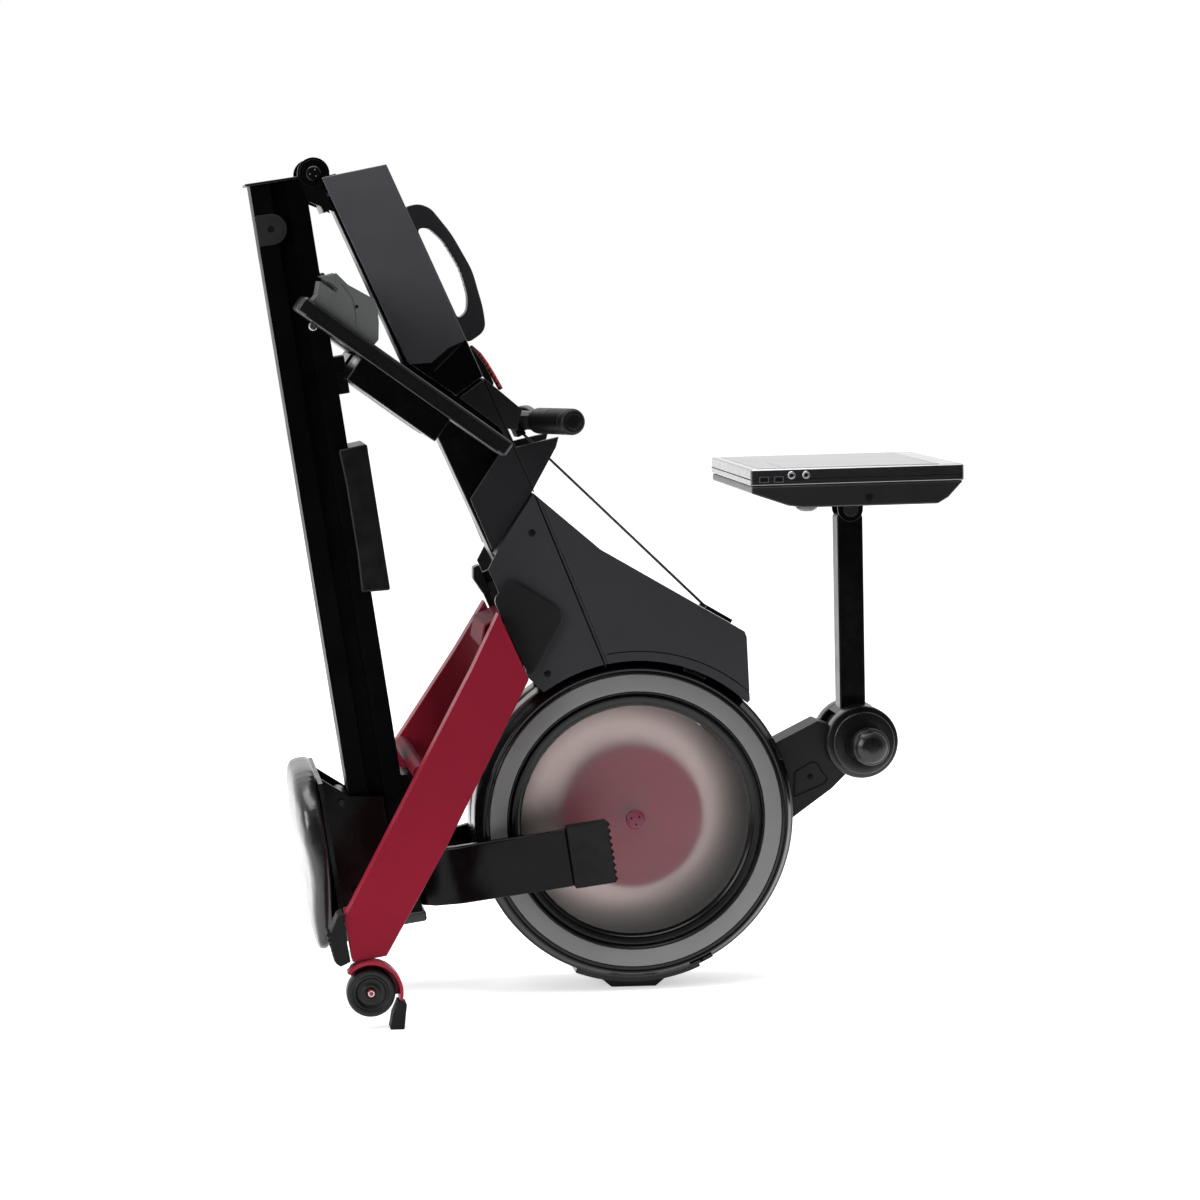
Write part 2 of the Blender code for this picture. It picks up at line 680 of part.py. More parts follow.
def make_console():
    x = HINGE_X + DRUM_DX
    hub = disc(x, DRUM_Z, DRUM_R, -DRUM_HALF, -0.0265, 32)
    fuse(hub, disc(x, DRUM_Z, DRUM_R, 0.0265, DRUM_HALF, 32))
    fuse(hub, disc(x, DRUM_Z, DISC_R, -DISC_HALF, -DRUM_HALF + 0.002, 32))
    fuse(hub, disc(x, DRUM_Z, DISC_R, DRUM_HALF - 0.002, DISC_HALF, 32))
    fuse(hub, disc(x, DRUM_Z, 0.008, -0.055, 0.055, 24))
    bridge = arc(x, DRUM_Z, DRUM_R - 0.0006, 45.0, 132.0, 12)
    bridge += arc(x, DRUM_Z, 0.034, 132.0, 45.0, 8)
    fuse(hub, outline(bridge, 0.045))
    cut(hub, disc(x, DRUM_Z, 0.0415, -0.0265, 0.0265, 32))
    fuse(hub, disc(x, DRUM_Z, 0.0079, -0.050, 0.050, 24))
    post = outline([(x - 0.0235, DRUM_Z + 0.046), (x - 0.0235, DRUM_Z + POST_TOP - 0.016),
                    (x - 0.0165, DRUM_Z + POST_TOP - 0.006), (x + 0.0045, DRUM_Z + POST_TOP - 0.006),
                    (x + 0.0115, DRUM_Z + POST_TOP - 0.016), (x + 0.0115, DRUM_Z + 0.046)], POST_HALF)
    lean = Matrix.Translation((x, 0.0, DRUM_Z)) @ Matrix.Rotation(POST_LEAN, 4, "Y")
    lean = lean @ Matrix.Translation((-x, 0.0, -DRUM_Z))
    post.data.transform(lean)
    fuse(hub, post)
    top = lean @ Vector((x - 0.006, 0.0, DRUM_Z + POST_TOP))
    fuse(hub, disc(top.x, top.z, 0.0115, -POST_HALF, POST_HALF, 24))
    cut(hub, disc(top.x, top.z, 0.0047, -0.1, 0.1, 20))
    keep(smooth(bake(hub)), "console_post", "black_steel")

    knob = disc(x + 0.001, DRUM_Z, 0.0245, -0.112, -0.072, 24)
    bevel(knob, 0.011, 2)
    knob = bake(knob)
    fuse(knob, disc(x + 0.001, DRUM_Z, 0.014, -0.073, -0.0603, 24))
    keep(smooth(knob), "console_knob", "rubber")
    return top


def pocket_grid(obj, x0, x1, half, z0, z1, columns, rows=3):
    """Hollow a moulding into square pockets with ribs between them."""
    rib = 0.003
    wide = (x1 - x0 + rib) / columns
    deep = (2.0 * half + rib) / rows
    for i in range(columns):
        for j in range(rows):
            x, y = x0 + i * wide, j * deep - half
            cut(obj, box(x, x + wide - rib, y, y + deep - rib, z0, z1))


def make_console_head(top):
    x0 = HINGE_X + DRUM_DX - 0.171
    tilt = Matrix.Translation((top.x, 0.0, top.z)) @ Matrix.Rotation(math.radians(-1.2), 4, "Y")
    tilt = tilt @ Matrix.Translation((-top.x, 0.0, -top.z))
    low = top.z + 0.0135

    back = outline([(x0, low + 0.020), (x0 + 0.048, low + 0.003), (x0 + 0.068, low),
                    (x0 + 0.248, low), (x0 + 0.262, low + 0.008), (x0 + 0.282, low + 0.029),
                    (x0, low + 0.029)], CONSOLE_HALF)
    pocket_grid(back, x0 + 0.072, x0 + 0.245, CONSOLE_HALF - 0.006, low + 0.004, low + 0.05, 2)
    back = bake(bevel(bake(back), 0.002, 1))

    screen = box(x0 - 0.001, x0 + 0.283, -CONSOLE_HALF, CONSOLE_HALF, low + 0.0293, low + 0.0515)
    screen = bake(bevel(screen, 0.002, 2))
    pocket_grid(screen, x0 + 0.004, x0 + 0.278, CONSOLE_HALF - 0.004, low + 0.02, low + 0.0475, 3)
    screen = bake(screen)
    screen.data.transform(tilt)
    keep(screen, "console_screen", "charcoal")

    for side in (-1.0, 1.0):
        y0, y1 = sorted((side * (POST_HALF + 0.0005), side * 0.0250))
        fuse(back, disc(top.x, top.z, 0.0100, y0, y1, 24))
        fuse(back, box(top.x - 0.0100, top.x + 0.0100, y0, y1, top.z, low + 0.003))
    fuse(back, disc(top.x, top.z, 0.0045, -0.024, 0.024, 20))
    back = bake(back)
    back.data.transform(tilt)
    keep(smooth(back, 25.0), "console_back", "charcoal")


def make_small_parts(front):
    tab = outline([(0.292, 0.0918), (0.292, 0.099), (0.318, 0.1085), (0.352, 0.1085),
                   (0.350, 0.1010), (0.322, 0.0918)], 0.012, 0.0)
    keep(bevel(tab, 0.0015, 1), "latch_pull", "pull_red", front)

    lever = outline([(0.560, -0.0150), (0.560, -0.0235), (0.574, -0.030), (0.598, -0.026),
                     (0.600, -0.0150)], 0.012)
    fuse(lever, box(0.572, 0.588, -0.006, 0.006, -0.018, 0.0045), front)
    keep(lever, "frame_latch", "gloss_black", front)


def rail_outline():
    """The rail's cross-section, with a groove in each side for the seat's shoes."""
    half = RAIL_HALF
    right = [(half, RAIL_LOW), (half, 0.0375), (half - 0.010, 0.0385), (half - 0.010, 0.0575),
             (half, 0.0585), (half, RAIL_HIGH)]
    return right + [(-y, z) for y, z in reversed(right)]


def make_rail(rail):
    obj = section(rail_outline(), -RAIL_END, -RAIL_START)
    wide = RAIL_HALF - TUBE_WALL
    narrow = wide - 0.010
    low, high = RAIL_LOW + TUBE_WALL, RAIL_HIGH - TUBE_WALL
    for half, z0, z1 in ((narrow, low, high), (wide, low, 0.0348), (wide, 0.0612, high)):
        cut(obj, box(-1.2, 0.2, -half, half, z0, z1), rail)
    for side in (-1.0, 1.0):
        knuckle = arc(0.0, 0.0, 0.0112, -120.0, 70.0, 12)
        knuckle += [(-0.0080, 0.0150), (-0.034, 0.0150), (-0.030, 0.0100)]
        hole = arc(0.0, 0.0, 0.0062, 360.0, 15.0, 23)
        fuse(obj, outline(knuckle, 0.0035, side * 0.0400, [hole]), rail)
    keep(obj, "rail", "black_steel", rail)

    cap = box(-0.0037, -0.0002, -0.0468, 0.0468, 0.0150, 0.0895)
    keep(cap, "rail_cap_front", "charcoal", rail)
    cap = box(-0.9980, -RAIL_END - GAP, -0.0468, 0.0468, 0.0080, 0.0860)
    keep(bevel(cap, 0.003, 2), "rail_cap_rear", "charcoal", rail)

    bumper = outline([(-0.360, 0.0250), (-0.3580, -0.0130), (-0.5530, -0.0130),
                      (-0.5500, 0.0250), (-0.500, 0.0225), (-0.410, 0.0225)], 0.0530)
    bumper = bake(bevel(bumper, 0.002, 1))
    cut(bumper, box(-0.60, -0.30, -RAIL_HALF - 0.0005, RAIL_HALF + 0.0005, RAIL_LOW - GAP, 0.06),
        rail)
    keep(bumper, "rail_bumper", "rubber", rail)


def make_rear_leg(rail):
    top = RAIL_LOW - GAP
    outer = [(0.038, top), (0.060, -0.004), (0.078, -0.040), (0.133, -0.1855)]
    inner = [(0.1180, -0.1855), (0.0630, -0.0430), (0.0500, -0.0165), (0.036, -0.0030)]
    right = outer + inner
    shape = right + [(-y, z) for y, z in reversed(right)]
    leg = section(shape, -0.978, -0.901)
    for vert in leg.data.vertices:
        vert.co.x += REAR_LEG_RAKE * max(0.0, -0.042 - vert.co.z)
    keep(bevel(leg, 0.002, 1), "rear_leg", "black_steel", rail)

    def foot():
        block = section([(-0.111, -0.1858), (-0.1365, -0.1858), (-0.156, -0.2380),
                         (-0.131, -0.2380)], -0.981, -0.899)
        for vert in block.data.vertices:
            vert.co.x += REAR_LEG_RAKE * (-0.042 - vert.co.z)
        return block

    pair(foot, "rear_foot", "rubber", rail, 0.0015)


def make_seat(rail):
    s = SEAT_S
    right = [(-s - 0.117, -0.130), (-s - 0.095, -0.160), (-s + 0.055, -0.160),
             (-s + 0.092, -0.130), (-s + 0.118, -0.050)]
    corners = right + [(x, -y) for x, y in reversed(right)]
    pad = outline(rounded(corners, 0.030, 4), SEAT_THICK / 2.0)
    pad.data.transform(Matrix.Rotation(math.radians(-90.0), 4, "X"))
    pad.data.transform(Matrix.Translation((0.0, 0.0, SEAT_BASE + 0.0063 + SEAT_THICK / 2.0)))
    keep(bevel(pad, 0.009, 2), "seat_pad", "seat_black", rail)

    base = box(-s - 0.095, -s + 0.100, -0.125, 0.125, SEAT_BASE, SEAT_BASE + 0.006)
    plate = [(-s - 0.080, SEAT_BASE + 0.002), (-s - 0.066, 0.040), (-s + 0.058, 0.040),
             (-s + 0.066, 0.084), (-s + 0.098, SEAT_BASE + 0.002)]
    for side in (-1.0, 1.0):
        fuse(base, outline(plate, 0.0022, side * 0.0525), rail)
        y0, y1 = sorted((side * 0.0362, side * 0.0515))
        fuse(base, box(-s - 0.055, -s + 0.055, y0, y1, 0.0400, 0.0560), rail)
    for offset in (-0.060, 0.060):
        cut(base, disc(-s + offset, RAIL_HIGH + ROLLER_R + GAP, 0.0042, -0.1, 0.1, 20), rail)
    keep(base, "seat_carriage", "black_steel", rail)

    for offset, name in ((0.060, "seat_roller_front"), (-0.060, "seat_roller_rear")):
        z = RAIL_HIGH + ROLLER_R + GAP
        roller = disc(-s + offset, z, ROLLER_R, -0.032, 0.032, 24)
        fuse(roller, disc(-s + offset, z, 0.0040, -0.060, 0.060, 16), rail)
        keep(smooth(roller), name, "charcoal", rail)


def make_pose(name, turn):
    empty = bpy.data.objects.new(name, None)
    PARTS.objects.link(empty)
    empty.location = (HINGE_X, 0.0, HINGE_Z)
    empty.rotation_euler = (0.0, turn, 0.0)
    bpy.context.view_layer.update()
    return empty


def main():
    global PARTS, CUTTERS
    clear_scene()
    PARTS = new_collection(COLLECTION)
    CUTTERS = new_collection("cutters")
    make_materials()
    front = make_pose("front_pose", FRONT_TURN)
    rail = make_pose("rail_pose", RAIL_TURN)
    make_spine(front)
    make_lift_handle(front)
    make_cradle(front)
    make_shroud(front)
    make_housing(front)
    make_housing_foot()
    make_legs(front)
    make_wheels()
    make_foot_caps(front)
    make_pedals(front)
    make_handle(front)
    make_console_arm()
    make_console_head(make_console())
    make_small_parts(front)
    make_rail(rail)
    make_rear_leg(rail)
    make_seat(rail)


main()
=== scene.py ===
"""Looks for a folding magnetic rowing machine, stored upright in its folded pose.

Metres, +Z up, -Y is the near side.  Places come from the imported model: its joints,
its nodes' boxes, and the two local frames of the folded machine.
FRONT: +X runs from the fold hinge to the flywheel, +Z is the upper side in use.
RAIL: -X runs from the fold hinge to the rear foot, +Z is the seat's side.
PEDAL: +X runs along a foot plate from heel to toe, +Z is its tread side.
"""

import json
import math

import bmesh
import bpy
from mathutils import Matrix, Vector


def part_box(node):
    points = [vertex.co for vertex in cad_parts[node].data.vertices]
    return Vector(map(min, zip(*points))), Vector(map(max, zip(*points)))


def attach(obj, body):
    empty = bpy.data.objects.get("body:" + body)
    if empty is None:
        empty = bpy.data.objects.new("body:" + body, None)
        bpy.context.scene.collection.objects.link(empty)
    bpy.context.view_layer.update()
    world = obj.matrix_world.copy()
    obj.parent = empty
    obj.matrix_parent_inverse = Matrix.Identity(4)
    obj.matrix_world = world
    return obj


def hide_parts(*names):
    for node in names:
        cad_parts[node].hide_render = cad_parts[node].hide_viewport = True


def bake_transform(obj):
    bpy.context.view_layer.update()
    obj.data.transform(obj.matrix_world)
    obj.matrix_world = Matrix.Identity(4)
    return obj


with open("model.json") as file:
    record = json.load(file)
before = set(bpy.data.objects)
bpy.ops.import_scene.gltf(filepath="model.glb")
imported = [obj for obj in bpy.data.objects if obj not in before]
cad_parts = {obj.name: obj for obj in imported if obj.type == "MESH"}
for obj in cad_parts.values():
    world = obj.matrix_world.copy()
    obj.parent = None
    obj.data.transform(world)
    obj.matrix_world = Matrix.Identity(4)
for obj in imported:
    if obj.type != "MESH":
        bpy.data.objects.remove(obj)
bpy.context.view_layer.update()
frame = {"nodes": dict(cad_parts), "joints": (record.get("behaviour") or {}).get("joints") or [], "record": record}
NODES = frame["nodes"]
RECORD = frame["record"]
JOINTS = {joint["name"]: joint for joint in frame["joints"]}
BODY = {node: body for body, nodes in RECORD["behaviour"]["bodies"].items() for node in nodes}
SIDES = (("near", -1.0), ("far", 1.0))


def mm(*points):
    """Points given in millimetres, in metres."""
    return [(round(a / 1000.0, 7), round(b / 1000.0, 7)) for a, b in points]


def joint_point(name):
    return Vector(JOINTS[name]["pos_m"])


HINGE = joint_point("rail_fold")
AXLE = joint_point("flywheel_spin")
DRUM = joint_point("console_post_fold")
TILT = joint_point("console_tilt")
FRONT = Matrix.Translation(HINGE) @ Matrix.Rotation(math.radians(65.5), 4, "Y")
RAIL = Matrix.Translation(HINGE) @ Matrix.Rotation(math.radians(-98.8), 4, "Y")
PEDAL_TURN = Matrix.Rotation(math.radians(-30.0), 4, "Y")
HEAD = Matrix.Translation(TILT) @ Matrix.Rotation(math.radians(-1.2), 4, "Y")
ROUND_AXLE = Matrix.Translation((AXLE.x, 0.0, AXLE.z))
ROUND_DRUM = Matrix.Translation((DRUM.x, 0.0, DRUM.z))
HOUSING_R = 0.215
HOUSING_HALF = 0.068
WINDOW_R = 0.153
RING_OUT = 0.1962
RING_IN = 0.1738
TAB_ANGLES = (68.0, 26.0, -65.0)
SHROUD_HALF = 0.075
SHROUD_FACE = SHROUD_HALF + 0.0001
GROOVE_OUT = 0.003
GROOVE_DEPTH = 0.0022
GROOVE_WIDTH = 0.0024
ROLL_CENTRE = Vector((0.411, 0.0, 0.1215))
HANDLE_ROLL = Matrix.Rotation(math.radians(-2.2), 4, Vector((0.92, 0.0, 0.4)))
BEND_START = 0.055
HANDLE_END = 0.2195
LUG = (-0.063, 0.065)
BELLY_LOW = 0.0135
SEAT_S = 0.88
SEAT_FLOOR = 0.1248
SEAT_THICK = 0.04
SEAT_HALF_X = 0.1163
SEAT_HALF_Y = 0.159
PAD_FLAT = 0.0295
SWELL_FRAMES = 16
SWELL_LIMIT = 0.0015


def handle_point(y):
    """The pull handle's centre line, y metres from its middle."""
    t = max(0.0, (abs(y) - BEND_START) / (HANDLE_END - BEND_START))
    offset = Vector((0.0135 * t, y, 0.03 * t))
    return FRONT @ (ROLL_CENTRE + HANDLE_ROLL @ offset)


def pedal_frame(side):
    return FRONT @ Matrix.Translation((0.281, side * 0.142, -0.0105)) @ PEDAL_TURN


# ---------------------------------------------------------------- materials

def preset(node, **values):
    """Set a node's sockets by name, with _ for a space."""
    for name, value in values.items():
        node.inputs[name.replace("_", " ")].default_value = value
    return node


class Graph:
    """A short way to add and join shader nodes."""

    def __init__(self, name):
        self.mat = bpy.data.materials.new(name)
        self.mat.use_nodes = True
        self.tree = self.mat.node_tree
        self.shader = self.tree.nodes["Principled BSDF"]
        self.place = self.add("ShaderNodeTexCoord").outputs["Object"]

    def add(self, kind, **values):
        node = self.tree.nodes.new(kind)
        for key, value in values.items():
            setattr(node, key, value)
        return node

    def join(self, source, target):
        self.tree.links.new(source, target)

    def texture(self, kind, scale, **values):
        node = preset(self.add(kind, **values), Scale=scale)
        self.join(self.place, node.inputs["Vector"])
        return node.outputs

    def noise(self, scale, detail=3.0, stretch=None, roughness=0.5):
        node = preset(self.add("ShaderNodeTexNoise"), Scale=scale, Detail=detail, Roughness=roughness)
        source = self.place
        if stretch is not None:
            mapping = preset(self.add("ShaderNodeMapping"), Scale=stretch)
            self.join(source, mapping.inputs["Vector"])
            source = mapping.outputs["Vector"]
        self.join(source, node.inputs["Vector"])
        return node.outputs["Fac"]

    def spread(self, source, low, high, start=0.3, stop=0.7):
        node = preset(self.add("ShaderNodeMapRange"), From_Min=start, From_Max=stop, To_Min=low,
                      To_Max=high)
        self.join(source, node.inputs["Value"])
        return node.outputs["Result"]

    def blend(self, source, first, second, start=0.35, stop=0.65):
        node = self.add("ShaderNodeValToRGB")
        ends = ((start, first), (stop, second))
        for element, (position, colour) in zip(node.color_ramp.elements, ends):
            element.position = position
            element.color = (*colour, 1.0)
        self.join(source, node.inputs["Fac"])
        return node.outputs["Color"]

    def tinted(self, source, colour, low, high, start=0.35, stop=0.65):
        """A colour that varies between two factors of itself."""
        return self.blend(source, tint(colour, low), tint(colour, high), start, stop)

    def math(self, operation, first, second):
        node = self.add("ShaderNodeMath", operation=operation)
        for socket, value in zip(node.inputs, (first, second)):
            if isinstance(value, float):
                socket.default_value = value
            else:
                self.join(value, socket)
        return node.outputs[0]

    def vector(self, operation, source, value=(0.0, 0.0, 0.0)):
        node = self.add("ShaderNodeVectorMath", operation=operation)
        self.join(source, node.inputs[0])
        node.inputs[1].default_value = value
        return node.outputs

    def bump(self, height, distance, strength, below=None):
        node = preset(self.add("ShaderNodeBump"), Strength=strength, Distance=distance)
        self.join(height, node.inputs["Height"])
        if below is not None:
            self.join(below, node.inputs["Normal"])
        return node.outputs["Normal"]

    def base(self, colour, rough, normal=None, **fixed):
        for name, value in (("Base Color", colour), ("Roughness", rough), ("Normal", normal)):
            if isinstance(value, float):
                self.shader.inputs[name].default_value = value
            elif value is not None:
                self.join(value, self.shader.inputs[name])
        preset(self.shader, **fixed)
        return self.mat


def tint(colour, factor):
    return tuple(channel * factor for channel in colour)


def moulded(name, colour, rough, grain, depth, spec):
    """Moulded plastic: a fine spark-eroded grain and slightly uneven gloss."""
    g = Graph(name)
    colour_out = g.tinted(g.noise(9.0, 4.0), colour, 0.93, 1.07)
    rough_out = g.spread(g.noise(38.0, 5.0), rough - 0.02, rough + 0.03)
    normal = g.bump(g.noise(grain, 2.0), depth, 0.4)
    return g.base(colour_out, rough_out, normal, Specular_IOR_Level=spec)


def coated(name, colour, rough, spec, peel=0.00005):
    """Powder coat on steel: orange peel, and a few rubbed spots."""
    g = Graph(name)
    colour_out = g.tinted(g.noise(5.0, 6.0, (1.0, 1.0, 0.35), 0.6), colour, 0.82, 1.18)
    rough_out = g.spread(g.noise(24.0, 6.0), rough - 0.06, rough + 0.08)
    normal = g.bump(g.noise(420.0, 1.0), peel, 0.6)
    return g.base(colour_out, rough_out, normal, Specular_IOR_Level=spec)


def crimson_paint(name, colour, rough):
    """Metallic car-like paint: flakes under a clear coat."""
    g = Graph(name)
    flakes = g.texture("ShaderNodeTexVoronoi", 1400.0)["Distance"]
    mix = g.add("ShaderNodeMix", data_type="RGBA", blend_type="MULTIPLY")
    mix.inputs["Factor"].default_value = 1.0
    g.join(g.tinted(flakes, colour, 0.92, 1.22, 0.1, 0.8), mix.inputs["A"])
    g.join(g.blend(g.noise(4.0, 3.0), (0.9, 0.9, 0.9), (1.0, 1.0, 1.0)), mix.inputs["B"])
    rough_out = g.spread(g.noise(30.0, 4.0), rough - 0.04, rough + 0.04)
    return g.base(mix.outputs["Result"], rough_out, g.bump(flakes, 0.00002, 0.25), Metallic=0.08,
                  Coat_Weight=0.1, Coat_Roughness=0.2, Specular_IOR_Level=0.12)


def gloss_shell(name, colour):
    """Satin plastic under a clear coat, which mirrors the room at a flat angle."""
    g = Graph(name)
    colour_out = g.tinted(g.noise(9.0, 4.0), colour, 0.9, 1.1)
    rough_out = g.spread(g.noise(38.0, 5.0), 0.24, 0.34)
    normal = g.bump(g.noise(1000.0, 2.0), 0.00002, 0.4)
    return g.base(colour_out, rough_out, normal, Specular_IOR_Level=0.5, Coat_Weight=1.0,
                  Coat_Roughness=0.04, Coat_IOR=2.4)


def rubber_finish(name, colour, rough, spec):
    """Rubber with a little dust on it."""
    g = Graph(name)
    colour_out = g.tinted(g.noise(16.0, 7.0, None, 0.65), colour, 0.8, 1.5, 0.4, 0.75)
    rough_out = g.spread(g.noise(60.0, 4.0), rough - 0.07, rough + 0.1)
    normal = g.bump(g.noise(700.0, 3.0), 0.0001, 0.5)
    return g.base(colour_out, rough_out, normal, Specular_IOR_Level=spec)


def foam_finish(name, colour):
    """Closed-cell foam with a skin."""
    g = Graph(name)
    normal = g.bump(g.texture("ShaderNodeTexVoronoi", 900.0)["Distance"], 0.0002, 0.5)
    colour_out = g.tinted(g.noise(30.0, 5.0), colour, 0.8, 1.3)
    return g.base(colour_out, g.spread(g.noise(80.0), 0.36, 0.48), normal, Specular_IOR_Level=0.22)


def leather_finish(name, colour):
    """Synthetic leather: a pebbled grain over soft creases."""
    g = Graph(name)
    pebbles = g.texture("ShaderNodeTexVoronoi", 520.0, feature="SMOOTH_F1")["Distance"]
    creases = g.bump(g.noise(60.0, 6.0), 0.0001, 0.2)
    normal = g.bump(pebbles, 0.00006, 0.4, creases)
    colour_out = g.tinted(g.noise(14.0, 5.0), colour, 0.85, 1.2)
    return g.base(colour_out, g.spread(g.noise(45.0, 4.0), 0.26, 0.34), normal,
                  Specular_IOR_Level=0.5, Coat_Weight=0.35, Coat_Roughness=0.22)


def metal_finish(name, colour, rough):
    """Bare metal, brushed along its grain."""
    g = Graph(name)
    brushed = g.noise(260.0, 4.0, (1.0, 0.06, 1.0))
    colour_out = g.tinted(g.noise(22.0, 4.0), colour, 0.85, 1.1)
    rough_out = g.spread(brushed, rough - 0.08, rough + 0.12)
    return g.base(colour_out, rough_out, g.bump(brushed, 0.00004, 0.4), Metallic=1.0)


def frosted_finish(name, colour):
    """A frosted pane: what lies behind it shows through blurred, with painted shade that darkens it towards its
    rim, most to the right and below.
    """
    g = Graph(name)
    offset = g.vector("SUBTRACT", g.place, AXLE + Vector((-0.014, 0.0, 0.012)))[0]
    flat = g.vector("MULTIPLY", offset, (1.0, 0.0, 1.0))[0]
    # Painted shade: the pane's colour darkens from a middle set left of and above the axle out to its rim, with a
    # random cloud added.
    shade = g.spread(g.vector("LENGTH", flat)["Value"], 0.0, 1.0, 0.118, 0.166)
    cloud = g.math("MULTIPLY", g.noise(7.0, 4.0), 0.12)
    colour_out = g.tinted(g.math("ADD", shade, cloud), colour, 1.0, 0.2, 0.05, 1.05)
    return g.base(colour_out, g.spread(g.noise(40.0, 3.0), 0.38, 0.44), Transmission_Weight=0.94,
                  IOR=1.45, Specular_IOR_Level=0.2)


def webbing_finish(name, colour):
    """Woven nylon: ribs across the strap, with the yarns' twill between them."""
    g = Graph(name)
    ribs = g.add("ShaderNodeTexWave", bands_direction="Z")
    g.join(g.place, preset(ribs, Scale=180.0, Distortion=0.4).inputs["Vector"])
    yarn = g.texture("ShaderNodeTexWave", 260.0, bands_direction="Y")
    height = g.math("MULTIPLY", ribs.outputs["Fac"], yarn["Fac"])
    # Painted shade and highlight: the colour follows the weave's height, darker in its hollows and lighter on its
    # ridges.
    colour_out = g.tinted(height, colour, 0.6, 1.6, 0.1, 0.8)
    return g.base(colour_out, 0.78, g.bump(height, 0.0003, 0.8), Sheen_Weight=0.15)


def flat_glass(name, colour):
    """Dark glass with wiped smears."""
    g = Graph(name)
    smear = g.noise(12.0, 6.0, (1.0, 2.0, 1.0))
    return g.base(g.tinted(smear, colour, 0.9, 1.15), g.spread(smear, 0.05, 0.1),
                  Specular_IOR_Level=1.0, IOR=1.9)


FINISH = {
    "rail": coated("rail_black", (0.0009, 0.0009, 0.001), 0.38, 0.06),
    "frame": coated("frame_black", (0.0016, 0.0016, 0.0018), 0.24, 0.25),
    "leg_gloss": coated("leg_gloss_black", (0.0012, 0.0012, 0.0013), 0.16, 0.1, 0.00002),
    "cover": moulded("cover_charcoal", (0.061, 0.06, 0.067), 0.34, 900.0, 0.00004, 0.4),
    "shroud": moulded("shroud_charcoal", (0.025, 0.025, 0.028), 0.36, 900.0, 0.00005, 0.36),
    "cradle": moulded("cradle_black", (0.012, 0.012, 0.0135), 0.34, 900.0, 0.00005, 0.36),
    "arm": moulded("arm_black", (0.0095, 0.0095, 0.01), 0.42, 1100.0, 0.00004, 0.22),
    "dark": moulded("dark_plastic", (0.0045, 0.0045, 0.005), 0.28, 1100.0, 0.00004, 0.45),
    "housing": moulded("housing_black", (0.0022, 0.0022, 0.0024), 0.22, 1300.0, 0.00002, 0.28),
    "step": moulded("step_grey", (0.003, 0.003, 0.0032), 0.34, 1300.0, 0.00002, 0.3),
    # Black for screw heads, dots, raised outlines and joints, and painted shade where strips and discs fill
    # grooves and holes.
    "groove": moulded("black_and_painted_shade", (0.0012, 0.0012, 0.0012), 0.6, 1300.0, 0.00002, 0.15),
    "pivot": moulded("pivot_black", (0.012, 0.0122, 0.0124), 0.24, 1300.0, 0.00003, 0.36),
    "red": crimson_paint("crimson_paint", (0.215, 0.0085, 0.0235), 0.42),
    # Painted shade: a darker, rougher copy of the crimson paint, for the crossbar and spreader between the legs.
    "shaded_red": crimson_paint("crimson_painted_shade", (0.105, 0.002, 0.011), 0.85),
    "maroon": crimson_paint("maroon_disc", (0.8, 0.01, 0.15), 0.5),
    "axle": moulded("axle_cap", (0.15, 0.032, 0.055), 0.4, 900.0, 0.00003, 0.3),
    "flywheel": metal_finish("flywheel_steel", (0.5, 0.47, 0.45), 0.34),
    "ring": moulded("ring_grey", (0.15, 0.149, 0.151), 0.3, 1400.0, 0.00002, 0.35),
    "window": frosted_finish("frosted_window", (0.6, 0.535, 0.52)),
    "rubber": rubber_finish("foot_rubber", (0.004, 0.0042, 0.0042), 0.62, 0.16),
    "bumper": rubber_finish("bumper_rubber", (0.005, 0.005, 0.0052), 0.34, 0.25),
    "tyre": rubber_finish("tyre_rubber", (0.005, 0.005, 0.005), 0.42, 0.25),
    "foam": foam_finish("grip_foam", (0.0016, 0.0016, 0.0015)),
    "steel": metal_finish("zinc_steel", (0.45, 0.45, 0.47), 0.26),
    "heel": moulded("heel_grey", (0.095, 0.098, 0.098), 0.34, 900.0, 0.00004, 0.45),
    "plate": moulded("lug_grey", (0.0125, 0.0125, 0.013), 0.5, 900.0, 0.00005, 0.2),
    "webbing": webbing_finish("strap_webbing", (0.006, 0.006, 0.0065)),
    "pull": webbing_finish("pull_braid", (0.46, 0.01, 0.02)),
    "console": gloss_shell("console_black", (0.011, 0.011, 0.012)),
    "belly": moulded("console_belly", (0.0145, 0.0145, 0.0155), 0.3, 1000.0, 0.00004, 0.45),
    "screen": flat_glass("screen_glass", (0.01, 0.01, 0.012)),
    "leather": leather_finish("seat_leather", (0.006, 0.006, 0.0068)),
}


# ---------------------------------------------------------------- mesh tools

def link(name, data):
    """Put a mesh, a curve, a light or a camera in the scene."""
    obj = bpy.data.objects.new(name, data)
    bpy.context.scene.collection.objects.link(obj)
    return obj


def modify(obj, name, kind, **values):
    mod = obj.modifiers.new(name, kind)
    for key, value in values.items():
        setattr(mod, key, value)
    return mod


def settled(obj):
    """An object's mesh after its modifiers."""
    bpy.context.view_layer.update()
    graph = bpy.context.evaluated_depsgraph_get()
    return bpy.data.meshes.new_from_object(obj.evaluated_get(graph))


def add_piece(mesh, name, finish, body="frame", edge=0.0, segments=3):
    """Link a finished mesh with its material, let it ride on a body and round its edges."""
    obj = link(name, mesh)
    obj.data.materials.clear()
    obj.data.materials.append(FINISH[finish])
    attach(obj, body)
    if edge:
        round_edges(obj, edge, segments)
    return obj


def smooth(mesh, angle=32.0):
    mesh.shade_smooth()
    mesh.set_sharp_from_angle(angle=math.radians(angle))
    return mesh


def mesh_from(bm, name="piece"):
    bmesh.ops.recalc_face_normals(bm, faces=bm.faces)
    mesh = bpy.data.meshes.new(name)
    bm.to_mesh(mesh)
    bm.free()
    return mesh


